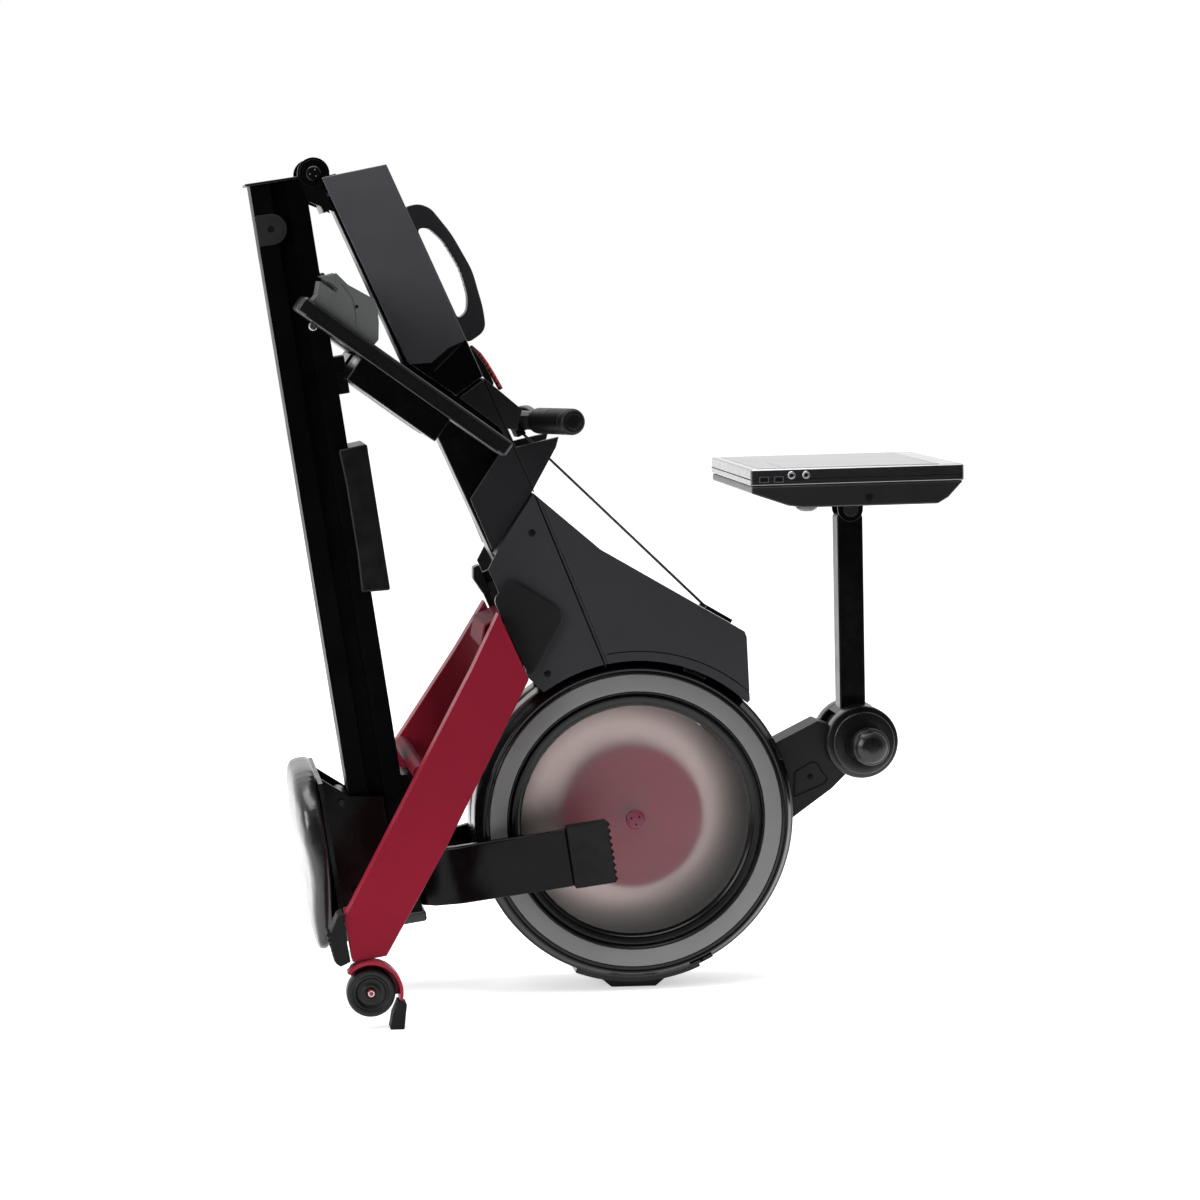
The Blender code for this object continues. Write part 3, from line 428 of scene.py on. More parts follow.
def cleaned(mesh, gap, angle=None):
    """A mesh with its close points merged and, within an angle, its flat faces joined up."""
    bm = bmesh.new()
    bm.from_mesh(mesh)
    bmesh.ops.remove_doubles(bm, verts=bm.verts, dist=gap)
    if angle is not None:
        limit = math.radians(angle)
        bmesh.ops.dissolve_limit(bm, angle_limit=limit, verts=bm.verts, edges=bm.edges)
    return mesh_from(bm)


def round_edges(obj, width, segments):
    modify(obj, "round", "BEVEL", width=width, segments=segments, limit_method="ANGLE",
           angle_limit=math.radians(28.0), harden_normals=True)
    smooth(obj.data, 40.0)
    modify(obj, "even", "WEIGHTED_NORMAL", keep_sharp=True)


def refine(node, finish, width, segments=2, carve=()):
    """A finer copy of a CAD node: flat faces joined up, grooves carved, edges rounded."""
    mesh = cleaned(NODES[node].data, 0.00001, 0.6)
    obj = add_piece(mesh, f"{node}_shell", finish, BODY[node])
    for cutter in carve:
        carve_out(obj, cutter)
    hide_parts(node)
    round_edges(obj, width, segments)


def carve_out(obj, cutter):
    """Cut a mesh by another and keep the result."""
    tool = link("tool", cutter)
    mod = modify(obj, "carve", "BOOLEAN", operation="DIFFERENCE", solver="EXACT", object=tool)
    mesh = settled(obj)
    obj.modifiers.remove(mod)
    obj.data = mesh
    bpy.data.objects.remove(tool, do_unlink=True)


def span(side, first, second):
    """Two distances from the middle plane, on one side of it, as a rising pair."""
    return sorted((side * first, side * second))


def arc(radius, start, stop, count, centre=(0.0, 0.0)):
    """Points of a circle between two angles in degrees."""
    points = []
    for i in range(count + 1):
        angle = math.radians(start + (stop - start) * i / count)
        points.append((centre[0] + radius * math.cos(angle), centre[1] + radius * math.sin(angle)))
    return points


def band(outer, inner, start, stop, count, centre=(0.0, 0.0)):
    """The outline between two arcs."""
    return arc(outer, start, stop, count, centre) + arc(inner, stop, start, count, centre)


def round_spot(centre, radius, degrees, y):
    """A point at a radius and an angle about an axis along Y."""
    angle = math.radians(degrees)
    return centre + Vector((radius * math.cos(angle), y, radius * math.sin(angle)))


def button(radius, height):
    """The profile of a disc that lies on a face."""
    return [(0.0, height), (radius, height), (radius, -0.001), (0.0, -0.001)]


def soften(points, radius, count=3, closed=True):
    """Replace each corner of a polyline by a short curve."""
    result = []
    total = len(points)
    for i, point in enumerate(points):
        corner = Vector(point)
        if not closed and i in (0, total - 1):
            result.append(tuple(corner))
            continue
        before = Vector(points[i - 1]) - corner
        after = Vector(points[(i + 1) % total]) - corner
        reach = min(radius, before.length * 0.45, after.length * 0.45)
        start = corner + before.normalized() * reach
        stop = corner + after.normalized() * reach
        for k in range(count + 1):
            t = k / count
            result.append(tuple(start * (1 - t) ** 2 + corner * 2 * t * (1 - t) + stop * t ** 2))
    return result


def turned(profile, centre, side=-1.0, segments=128, closed=True):
    """Points of (radius, depth) turned about the Y axis through centre; depth runs outwards."""
    bm = bmesh.new()
    rings = []
    for radius, depth in profile:
        if radius < 0.00001:
            rings.append([bm.verts.new((0.0, side * depth, 0.0))])
            continue
        ring = []
        for i in range(segments):
            angle = 2.0 * math.pi * i / segments
            point = (radius * math.cos(angle), side * depth, radius * math.sin(angle))
            ring.append(bm.verts.new(point))
        rings.append(ring)
    for first, second in zip(rings, rings[1:] + rings[:1] if closed else rings[1:]):
        for i in range(segments):
            k = (i + 1) % segments
            corners = []
            for vert in (first[i % len(first)], first[k % len(first)],
                         second[k % len(second)], second[i % len(second)]):
                if vert not in corners:
                    corners.append(vert)
            if len(corners) > 2:
                bm.faces.new(corners)
    mesh = smooth(mesh_from(bm))
    mesh.transform(Matrix.Translation(centre))
    return mesh


def curve_mesh(rings, closed, **values):
    """The mesh of a curve through rings of points."""
    curve = bpy.data.curves.new("outline", "CURVE")
    for key, value in values.items():
        setattr(curve, key, value)
    for ring in rings:
        spline = curve.splines.new("POLY")
        spline.points.add(len(ring) - 1)
        for point, co in zip(spline.points, ring):
            point.co = (*co, 1.0)
        spline.use_cyclic_u = closed
    obj = link("outline", curve)
    mesh = settled(obj)
    bpy.data.objects.remove(obj, do_unlink=True)
    return mesh


def prism(points, y0, y1, place=None, holes=()):
    """A flat outline in local X and Z between y0 and y1, as a mesh."""
    rings = [[(x, z, 0.0) for x, z in ring] for ring in (points, *holes)]
    mesh = curve_mesh(rings, True, dimensions="2D", fill_mode="BOTH", extrude=abs(y1 - y0) / 2.0)
    mesh = cleaned(mesh, 0.00002, 0.5)
    mesh.transform(Matrix.Translation((0.0, (y0 + y1) / 2.0, 0.0))
                   @ Matrix.Rotation(math.radians(90.0), 4, "X"))
    if place is not None:
        mesh.transform(place)
    return mesh


def block(x0, x1, y0, y1, z0, z1, place=None):
    return prism([(x0, z0), (x1, z0), (x1, z1), (x0, z1)], y0, y1, place)


def strip(start, stop, width, y0, y1, place=None):
    """A straight bar of the given width between two (x, z) points."""
    a, b = Vector(start), Vector(stop)
    across = Vector((a.y - b.y, b.x - a.x)).normalized() * width / 2.0
    ring = [tuple(a - across), tuple(b - across), tuple(b + across), tuple(a + across)]
    return prism(ring, y0, y1, place)


def sweep(points, radius):
    """A round tube through points, as a mesh."""
    mesh = curve_mesh([points], False, dimensions="3D", bevel_depth=radius, bevel_resolution=3,
                      use_fill_caps=True)
    return smooth(cleaned(mesh, 0.00001), 50.0)


def screw(name, centre, side, radius):
    """A cross-head screw whose head stands just proud of a face of the frame that looks along Y."""
    head = [(0.0, 0.0011), (radius * 0.5, 0.001), (radius * 0.85, 0.0006), (radius, 0.0),
            (radius, -0.001), (0.0, -0.001)]
    obj = add_piece(turned(head, centre, side, 32, False), name, "groove")
    y0, y1 = sorted((centre.y + side * 0.0004, centre.y + side * 0.002))
    long, thin = radius * 0.55, radius * 0.13
    for x, z in ((long, thin), (thin, long)):
        carve_out(obj, block(centre.x - x, centre.x + x, y0, y1, centre.z - z, centre.z + z))
    smooth(obj.data)


# ---------------------------------------------------------------- pieces

def make_spine():
    refine("front_beam", "frame", 0.0015)
    refine("beam_cover", "cover", 0.0012, 3)
    end = mm((277, 13), (286.2, 37.3), (278, 65), (278, 90), (329.5, 90), (338.5, 48.5), (279, 13.5))
    for tag, side in SIDES:
        add_piece(prism(end, *span(side, 0.0595, 0.0607), FRONT), f"cover_end_{tag}", "frame",
                  edge=0.0004)
        rib = strip((0.2975, 0.0345), (0.2795, 0.086), 0.0022, *span(side, 0.06, 0.0619), FRONT)
        add_piece(rib, f"cover_end_rib_{tag}", "frame", edge=0.0007)
    make_cradle()
    make_lift_handle()


def make_cradle():
    """The pull handle's cradle, with a crease where its sides meet the spine's top, and painted shade in each
    crease.
    """
    grooves = []
    for tag, side in SIDES:
        start, stop = (0.337, 0.0893), (0.498, 0.088)
        grooves.append(strip(start, stop, 0.0016, *span(side, 0.063, 0.066), FRONT))
        # Painted shade: a thin black strip on the floor of each crease.
        start, stop = (0.338, 0.0893), (0.497, 0.088)
        line = strip(start, stop, 0.0015, *span(side, 0.0631, 0.064), FRONT)
        add_piece(line, f"cradle_crease_shade_{tag}", "groove")
    refine("handle_cradle", "cradle", 0.0008, carve=grooves)


def make_lift_handle():
    """The carry handle: a rounded loop, with grip ribs inside its far limb."""
    outer = mm((88.5, 91.6), (92.5, 112), (104.5, 124), (147, 135), (201, 140), (254, 132),
               (281, 123.5), (287, 91.6))
    inner = mm((122, 96), (126, 110), (150, 121), (195, 126), (231, 120), (248, 111), (252, 96))
    mesh = prism(soften(outer, 0.012, 8), -0.0138, 0.0138, FRONT, (soften(inner, 0.012, 8),))
    obj = add_piece(mesh, "carry_loop", "shroud", "frame", 0.0024)
    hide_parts("lift_handle")
    for i in range(10):
        t = i / 9.0
        u = 0.158 + 0.068 * t
        w = 0.1222 + 0.0036 * math.sin(math.pi * t)
        rib = block(u - 0.0014, u + 0.0014, -0.0118, 0.0118, w - 0.0014, w + 0.002, FRONT)
        add_piece(rib, f"handle_rib_{i + 1}", "dark", edge=0.0006)


def make_hinge():
    """The fold hinge's knuckles, with turned rings, and its pin with three stakes in each end."""
    refine("hinge_bracket", "frame", 0.0007)
    rings = mm((11.5, 0), (11.8, 1), (13.2, 1.2), (14, 0), (15.8, 0), (16.6, 1.4), (18, 1.4),
               (18.8, 0), (18.8, -1), (11.5, -1))
    pin = mm((0, 59.5), (5, 59.4), (8.5, 58.7), (9.8, 57.2), (10, 55.2), (6, 54.9), (6, 0))
    nib = mm((0, 0.7), (0.8, 0.6), (1.2, 0), (0, -0.4))
    for tag, side in SIDES:
        centre = HINGE + Vector((0.0, side * 0.0546, 0.0))
        add_piece(turned(rings, centre, side), f"hinge_rings_{tag}", "frame")
        obj = add_piece(turned(pin, HINGE, side, 48, False), f"hinge_pin_{tag}", "housing",
                        "frame")
        if side < 0.0:
            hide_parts("hinge_pin")
        for i in range(3):
            spot = round_spot(HINGE, 0.0046, 70.0 + 120.0 * i, side * 0.0592)
            add_piece(turned(nib, spot, side, 16, False), f"pin_stake_{tag}_{i + 1}", "steel")


def make_shroud():
    """The two shroud halves, with their seams carved in, and what is screwed to them."""
    down = FRONT.to_3x3() @ Vector((1.0, 0.0, 0.0))
    flat = math.degrees(math.atan2(down.z, down.x))
    floor = SHROUD_HALF - GROOVE_DEPTH
    for tag, side in SIDES:
        y0, y1 = span(side, floor, SHROUD_HALF + GROOVE_OUT)
        lip = band(0.2288, 0.2272, flat + 166.0, flat + 86.0, 40)
        cuts = [strip((0.501, 0.0866), (0.75, 0.0772), GROOVE_WIDTH, y0, y1, FRONT),
                strip((0.515, 0.0902), (0.746, 0.0815), 0.0008, y0, y1, FRONT),
                prism(lip, y0, y1, ROUND_AXLE)]
        refine(f"shroud_{tag}", "shroud", 0.001, carve=cuts)
        # Painted shade: thin black strips on the floors of the seam and lip grooves make them darker than their
        # walls.
        y0, y1 = span(side, floor + 0.0001, floor + 0.0009)
        line = strip((0.503, 0.0865), (0.748, 0.0773), GROOVE_WIDTH - 0.0002, y0, y1, FRONT)
        add_piece(line, f"seam_shade_strip_{tag}", "groove")
        lip = band(0.2287, 0.2273, flat + 165.5, flat + 119.0, 40)
        add_piece(prism(lip, y0, y1, ROUND_AXLE), f"lip_shade_strip_{tag}", "groove")
        refine(f"pivot_cover_{tag}", "pivot", 0.0011, 3)
        spot = FRONT @ Vector((0.5439, side * SHROUD_FACE, 0.0621))
        screw(f"shroud_screw_{tag}", spot, side, 0.0052)
        spot = FRONT @ Vector((0.7223, side * SHROUD_FACE, 0.0035))
        screw(f"pivot_screw_{tag}", spot, side, 0.0048)
    refine("strap_guide", "dark", 0.0005)
    refine("frame_latch", "dark", 0.001)


def make_housing():
    """The round housing: its shells, grey rings, frosted windows, tabs and the skid under it."""
    half = HOUSING_HALF
    shell = [(HOUSING_R, 0.0002), (HOUSING_R, half - 0.017), (HOUSING_R - 0.0035, half - 0.0135),
             (0.2055, half - 0.001), (0.2035, half - 0.0002), (0.202, half - 0.0012),
             (0.2, half - 0.0012), (0.1985, half), (RING_OUT + 0.0003, half),
             (RING_OUT + 0.0003, half - 0.004), (RING_IN - 0.0003, half - 0.004),
             (RING_IN - 0.0003, half - 0.0005), (0.1712, half - 0.0005), (0.169, half - 0.0045),
             (0.1662, half - 0.0052), (0.158, half - 0.0072), (0.1565, half - 0.009),
             (WINDOW_R + 0.0003, half - 0.0098), (WINDOW_R + 0.0003, half - 0.017),
             (0.2, half - 0.017), (HOUSING_R - 0.004, half - 0.024), (HOUSING_R - 0.004, 0.0002)]
    step = [(0.1668, half - 0.005), (0.1668, half - 0.0026), (0.16, half - 0.004),
            (0.16, half - 0.0064)]
    ring = [(RING_OUT, half - 0.0037), (RING_OUT, half + 0.0009), (RING_IN, half + 0.0009),
            (RING_IN, half - 0.0037)]
    pane = [(0.0129, half - 0.014), (0.0129, half - 0.0112), (0.06, half - 0.0106),
            (WINDOW_R - 0.0002, half - 0.011), (WINDOW_R - 0.0002, half - 0.014)]
    for tag, side in SIDES:
        obj = add_piece(turned(soften(shell, 0.001, 2), AXLE, side, 192),
                        f"housing_shell_{tag}", "housing", "frame")
        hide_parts(f"flywheel_housing_{tag}")
        add_piece(turned(soften(step, 0.0007, 2), AXLE, side, 160), f"recess_step_{tag}", "step")
        obj = add_piece(turned(soften(ring, 0.0008, 3), AXLE, side, 192),
                        f"housing_ring_{tag}", "ring", "frame")
        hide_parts(f"trim_ring_{tag}")
        obj = add_piece(turned(pane, AXLE, side, 160), f"window_pane_{tag}", "window",
                        "frame")
        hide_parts(f"housing_window_{tag}")
        make_housing_tabs(tag, side)
    skid = prism(band(0.222, 0.2135, -111.0, -66.0, 24), -0.046, 0.046, ROUND_AXLE)
    obj = add_piece(skid, "housing_skid", "housing", "frame", 0.0012)
    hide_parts("housing_foot")
    pad = mm((-30, 0.5), (30, 0.5), (42, 10.5), (-42, 10.5))
    add_piece(prism(pad, -0.042, 0.042, Matrix.Translation((AXLE.x, 0.0, 0.0))), "skid_pad",
              "rubber", edge=0.001)


def make_housing_tabs(tag, side):
    """Screw tabs round the rim, where the two halves of the housing are held together."""
    for i, angle in enumerate(TAB_ANGLES):
        tab = prism(band(0.2142, 0.2085, angle - 4.4, angle + 4.4, 6),
                    *span(side, HOUSING_HALF - 0.014, HOUSING_HALF - 0.0062), ROUND_AXLE)
        add_piece(tab, f"housing_tab_{tag}_{i + 1}", "housing", edge=0.0012)
        spot = round_spot(AXLE, 0.2112, angle, side * (HOUSING_HALF - 0.0063))
        screw(f"tab_screw_{tag}_{i + 1}", spot, side, 0.0024)


def make_flywheel():
    """The steel wheel, its maroon faces and the ends of its axle."""
    rim = mm((20.5, -8), (20.5, 8), (80, 8), (80, 20), (96.2, 20), (96.2, -20), (80, -20), (80, -8))
    obj = add_piece(turned(soften(rim, 0.0008, 2), AXLE, -1.0, 160), "flywheel_rim", "flywheel",
                    "flywheel")
    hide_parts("flywheel")
    cover = mm((0, 26.2), (11.7, 26.2), (30, 26), (88, 25.6), (95, 24.6), (96.8, 22.5), (97, 20.5),
               (20.3, 20.5), (20.3, 0))
    axle = mm((0, 58.8), (10, 58.6), (11.8, 57.5), (12, 26.3), (0, 26.3))
    dot = mm((0, 0.2), (1.2, 0.2), (1.4, -0.4), (0, -0.4))
    for tag, side in SIDES:
        obj = add_piece(turned(cover, AXLE, side, 160, False), f"flywheel_cover_{tag}",
                        "maroon", "flywheel")
        if side < 0.0:
            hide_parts("flywheel_hub")
        add_piece(turned(axle, AXLE, side, 64, False), f"axle_end_{tag}", "axle", "flywheel")
        for i in range(3):
            spot = round_spot(AXLE, 0.0062, 38.0 + 120.0 * i, side * 0.0588)
            add_piece(turned(dot, spot, side, 16, False), f"axle_dot_{tag}_{i + 1}", "groove",
                      "flywheel")


def make_legs():
    for tag, side in SIDES:
        refine(f"front_leg_{tag}", "red", 0.0018, 3)
        refine(f"wheel_fender_{tag}", "red", 0.0006)
        refine(f"foot_cap_{tag}", "rubber", 0.0015)
        refine(f"stub_foot_{tag}", "rubber", 0.0012)
        make_transport_wheel(tag, side)
        make_cap_ribs(tag, side)
    # Painted shade: the crossbar and spreader take the darker copy of the legs' crimson.
    refine("leg_crossbar", "shaded_red", 0.0004)
    refine("leg_spreader", "shaded_red", 0.0015)


def make_transport_wheel(tag, side):
    """A wheel with a sunk ring, and the nut and bolt that hold it."""
    centre = joint_point(f"wheel_{tag}_spin")
    tyre = mm((5.7, -10.8), (5.7, 7.5), (10.5, 7.8), (11.8, 6.6), (17, 6.2), (18.8, 8.2), (20.2, 10.6),
              (21.8, 10.9), (22.8, 9.6), (24, 10.8), (28.2, 10.9), (30.4, 9.4), (31, 7), (31, -7),
              (30.4, -9.4), (28.2, -10.9))
    obj = add_piece(turned(soften(tyre, 0.0008, 2), centre, side, 96), f"tyre_{tag}", "tyre",
                    f"wheel_{tag}")
    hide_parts(f"transport_wheel_{tag}")
    outer = side * 0.0118
    y0, y1 = sorted((outer - side * 0.0022, outer + side * 0.0016))
    nut = prism(arc(0.0046, 30.0, 330.0, 5), y0, y1, Matrix.Translation(centre))
    add_piece(nut, f"wheel_nut_{tag}", "steel", edge=0.0006)
    tip = mm((0, 3.6), (1.8, 3.5), (2.6, 2.8), (2.8, 0), (0, -1))
    add_piece(turned(tip, centre + Vector((0.0, outer, 0.0)), side, 32, False),
              f"wheel_bolt_{tag}", "axle")


def make_cap_ribs(tag, side):
    """Grip ribs along the outer edge of a red leg's rubber cap."""
    low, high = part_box(f"foot_cap_{tag}")
    for i in range(6):
        t = (i + 0.5) / 6.0
        spot = FRONT @ Vector((0.872 + 0.04 * t, 0.0, -0.3985 - 0.006 * t))
        if low.x - 0.002 > spot.x:
            continue
        rib = prism(arc(0.0024, 0.0, 330.0, 11, (spot.x, spot.z)), low.y + 0.0015, high.y - 0.0015)
        add_piece(smooth(rib, 50.0), f"cap_rib_{tag}_{i + 1}", "rubber")


def make_pedals():
    """The foot plates, with rubber treads, two lips along their outer edge and a stud below."""
    stud = mm((0, 20), (4.5, 20), (5.5, 19), (5.5, 0), (0, 0))
    for tag, side in SIDES:
        place = pedal_frame(side)
        refine(f"pedal_{tag}", "dark", 0.004, 4)
        refine(f"pedal_bracket_{tag}", "frame", 0.0012)
        make_heel_cup(tag, side, place)
        for i in range(5):
            x = 0.026 + 0.027 * i
            tread = block(x - 0.004, x + 0.004, -0.044, 0.044, 0.0036, 0.0062, place)
            add_piece(tread, f"tread_{tag}_{i + 1}", "rubber", edge=0.001)
        edge = side * 0.0565
        y0, y1 = sorted((edge - side * 0.001, edge + side * 0.0006))
        for z, name in ((0.0085, "upper"), (-0.009, "lower")):
            lip = block(-0.148, 0.15, y0, y1, z - 0.0011, z + 0.0011, place)
            add_piece(lip, f"pedal_lip_{name}_{tag}", "dark", edge=0.0005)
        centre = place @ Vector((-0.132, side * 0.03, -0.015))
        add_piece(turned(stud, centre, side, 32, False), f"pedal_stud_{tag}", "steel")


def make_heel_cup(tag, side, place):
    """The sliding heel cup, with the crease in each of its walls, and a black disc of painted shade for the rivet
    hole in each.
    """
    creases = []
    path = mm((-135, 50), (-111.2, 42.8), (-95.1, 26.6), (-88.7, 17))
    for wall in (-1.0, 1.0):
        for start, stop in zip(path, path[1:]):
            creases.append(strip(start, stop, 0.0012, *span(wall, 0.0453, 0.048), place))
    refine(f"heel_cup_{tag}", "heel", 0.0008, carve=creases)
    # Painted shade: a black disc on each wall stands for its rivet hole.
    for wall, name in ((-1.0, "outer"), (1.0, "inner")):
        spot = place @ Vector((-0.1015, wall * side * -0.0461, 0.0372))
        add_piece(turned(button(0.0022, 0.0002), spot, wall * side * -1.0, 24, False),
                  f"heel_hole_shade_{name}_{tag}", "groove", f"heel_cup_{tag}")


def make_handle():
    """The pull handle: bent bar, foam grips with end caps, and its yoke."""
    refine("handle_bar", "arm", 0.0004)
    for tag, side in SIDES:
        start, stop = handle_point(side * 0.0893), handle_point(side * HANDLE_END)
        along = stop - start
        end = along.length
        ring = [(0.0129, 0.0), (0.015, 0.0), (0.0168, 0.0016), (0.017, 0.004), (0.017, end - 0.018),
                (0.0164, end - 0.0174), (0.0164, end - 0.0164), (0.017, end - 0.0158),
                (0.017, end - 0.006), (0.016, end - 0.0024), (0.013, end - 0.0004),
                (0.011, end - 0.0003), (0.0103, end - 0.0012), (0.0092, end - 0.0003),
                (0.0, end + 0.0004), (0.0, end - 0.013), (0.0129, end - 0.013)]
        mesh = turned(soften(ring, 0.0006, 2, False), Vector(), 1.0, 96, False)
        turn = Vector((0.0, 1.0, 0.0)).rotation_difference(along).to_matrix().to_4x4()
        mesh.transform(Matrix.Translation(start) @ turn)
        obj = add_piece(mesh, f"foam_grip_{tag}", "foam", "handle")
        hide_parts(f"hand_grip_{tag}")


def make_strap():
    """Webbing between the handle's yoke and the mouth of the shroud."""
    low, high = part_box("pull_strap")
    start = Vector((low.x + 0.0006, 0.0, high.z - 0.0006))
    stop = Vector((high.x - 0.0002, 0.0, low.z + 0.0002))
    along = stop - start
    steps = 60
    half_width, half_thick = 0.019, 0.001
    normal = Vector((-along.z, 0.0, along.x)).normalized()
    section = ((-1.0, -0.4), (-0.94, -1.0), (0.94, -1.0), (1.0, -0.4), (1.0, 0.4), (0.94, 1.0),
               (-0.94, 1.0), (-1.0, 0.4))
    bm = bmesh.new()
    rows = []
    for i in range(steps + 1):
        centre = start + along * i / steps
        rows.append([bm.verts.new(centre + normal * n * half_thick + Vector((0.0, y * half_width, 0.0)))
                     for y, n in section])
    stitch(bm, rows)
    bm.faces.new(rows[0])
    bm.faces.new(rows[-1])
    obj = link("strap_webbing", smooth(mesh_from(bm), 50.0))
    obj.data.materials.append(FINISH["webbing"])
    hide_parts("pull_strap")
    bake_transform(obj)


def stitch(bm, rows):
    """Faces between closed rows of the same number of points."""
    count = len(rows[0])
    for first, second in zip(rows, rows[1:]):
        for i in range(count):
            k = (i + 1) % count
            bm.faces.new((first[i], first[k], second[k], second[i]))


def make_console_arm():
    """The arm behind the housing, with a raised outline and a screw on each face."""
    refine("console_arm", "arm", 0.003, 3)
    outer = mm((-89.2, -41.7), (-64.1, -27.4), (-56.2, -29.8), (-51.4, -40.8), (-41.8, -52),
               (-46.5, -59.1), (-90.6, -77.6))
    middle = Vector((-0.068, -0.05))
    inner = [tuple(middle + (Vector(point) - middle) * 0.9) for point in outer]
    for tag, side in SIDES:
        mesh = prism(soften(outer, 0.004), *span(side, 0.0255, 0.0271), ROUND_DRUM,
                     (soften(inner, 0.0036),))
        add_piece(mesh, f"arm_panel_{tag}", "groove", edge=0.0004)
        spot = ROUND_DRUM @ Vector((-0.0671, side * 0.0262, -0.0487))
        screw(f"arm_screw_{tag}", spot, side, 0.004)


def make_console_post():
    """Clamp drums on the arm's end, and the square post that carries the console."""
    barrel = mm((42.5, 26.7), (47.5, 26.7), (48.9, 28), (48.9, 48), (47.8, 49.6), (42, 50), (0, 50),
                (0, 32), (40, 32))
    disc = mm((40.5, 49.7), (42, 51), (42, 58.5), (40.5, 59.9), (27, 60), (26.2, 59.2), (0, 59.2),
              (0, 49.7))
    half = 0.0175
    knuckle = [(0.0, half), (0.0105, half), (0.0114, half - 0.0009), (0.0115, 0.0)]
    for tag, side in SIDES:
        for name, profile in (("barrel", barrel), ("disc", disc)):
            add_piece(turned(soften(profile, 0.0008, 2, False), DRUM, side, 128, False),
                      f"clamp_{name}_{tag}", "dark", "console_post")
        add_piece(turned(knuckle, TILT, side, 64, False), f"post_knuckle_{tag}", "dark",
                  "console_post")
    bridge = prism(band(0.0484, 0.042, 46.0, 131.0, 24), -0.03, 0.03, ROUND_DRUM)
    add_piece(smooth(bridge, 50.0), "clamp_bridge", "step", "console_post")

    lean = Matrix.Translation(DRUM) @ Matrix.Rotation(math.radians(-1.3), 4, "Y")
    top = 0.303
    tube = [(-0.0235, 0.04), (-0.0235, top), (-0.0195, top + 0.004), (0.0075, top + 0.004),
            (0.0115, top), (0.0115, 0.04)]
    obj = add_piece(prism(tube, -half, half, lean), "post_tube", "frame", "console_post",
                    0.0022, 4)
    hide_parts("console_post")

    knob = mm((0, 111.8), (8, 111.4), (14, 109.8), (19, 106.6), (21.5, 103.6), (22.2, 102.2),
              (23.6, 102), (24.5, 100.8), (24.5, 86), (23.6, 78), (20.5, 73.5), (15, 72.2), (14, 71.5),
              (14, 60.4), (0, 60.4))
    centre = Vector((joint_point("console_knob_turn").x, 0.0, DRUM.z))
    obj = add_piece(turned(soften(knob, 0.0008, 2, False), centre, -1.0, 96, False), "clamp_knob",
                    "dark", "console_knob")
    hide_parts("console_knob")


def make_console():
    """The console's slab and belly, its screen and seams."""
    refine("console_back", "belly", 0.0008)
    refine("console_screen", "console", 0.0016, 3)
    low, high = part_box("console_screen")
    slab_low, slab_high = BELLY_LOW + 0.0293, BELLY_LOW + 0.0515
    left = low.x - TILT.x + 0.0008
    right = left + 0.284
    half = high.y
    glass = block(left + 0.012, right - 0.03, -half + 0.012, half - 0.012, slab_high - 0.001,
                  slab_high + 0.0004, HEAD)
    add_piece(glass, "screen_glass", "screen", "console_head", 0.0005)
    for i, x in enumerate((left + 0.046, right - 0.036)):
        seam = block(x, x + 0.0006, -half + 0.004, half - 0.004, slab_high - 0.001,
                     slab_high + 0.0005, HEAD)
        add_piece(seam, f"screen_seam_{i + 1}", "console", "console_head")
    middle = slab_low + 0.0085
    for tag, side in SIDES:
        seam = block(left + 0.002, right - 0.002, *span(side, half - 0.001, half + 0.00015),
                     middle - 0.0004, middle + 0.0004, HEAD)
        add_piece(seam, f"slab_seam_{tag}", "groove", "console_head")
    end = block(left - 0.0002, left + 0.0006, -half + 0.002, half - 0.002, middle - 0.0005,
                middle + 0.0005, HEAD)
    add_piece(end, "slab_seam_end", "groove", "console_head")
    make_ports(left, -half, slab_low)
    make_belly_details(left, half)


def make_ports(left, face, slab_low):
    """Two square ports and two round jacks in the slab's near edge."""
    for i, x in enumerate((0.0115, 0.031)):
        x0, x1, z0, z1 = left + x, left + x + 0.013, slab_low + 0.0045, slab_low + 0.0125
        ring = [(x0, z0), (x1, z0), (x1, z1), (x0, z1)]
        mouth = [(px * 0.78 + (x0 + 0.0065) * 0.22, pz * 0.7 + (slab_low + 0.0085) * 0.3)
                 for px, pz in ring]
        frame_mesh = prism(soften(ring, 0.0012), face - 0.0008, face + 0.002, HEAD, (mouth,))
        add_piece(frame_mesh, f"port_frame_{i + 1}", "cover", "console_head", edge=0.0003)
        # Painted shade: a black block fills each port's mouth, standing for its dark inside.
        add_piece(prism(mouth, face - 0.0003, face + 0.002, HEAD), f"port_mouth_shade_{i + 1}", "groove",
                  "console_head")
    jack = mm((2.6, -1), (2.6, 0.9), (3.6, 1.2), (4.5, 1), (5.2, 0.2), (5.2, -1))
    for i, x in enumerate((0.0545, 0.0738)):
        centre = HEAD @ Vector((left + x, face, slab_low + 0.0135))
        add_piece(turned(soften(jack, 0.0003, 2), centre, -1.0, 48), f"jack_ring_{i + 1}", "steel",
                  "console_head")
        # Painted shade: a black disc inside each ring stands for the jack's dark hole.
        add_piece(turned(button(0.0027, 0.0002), centre, -1.0, 32, False), f"jack_hole_shade_{i + 1}",
                  "groove", "console_head")


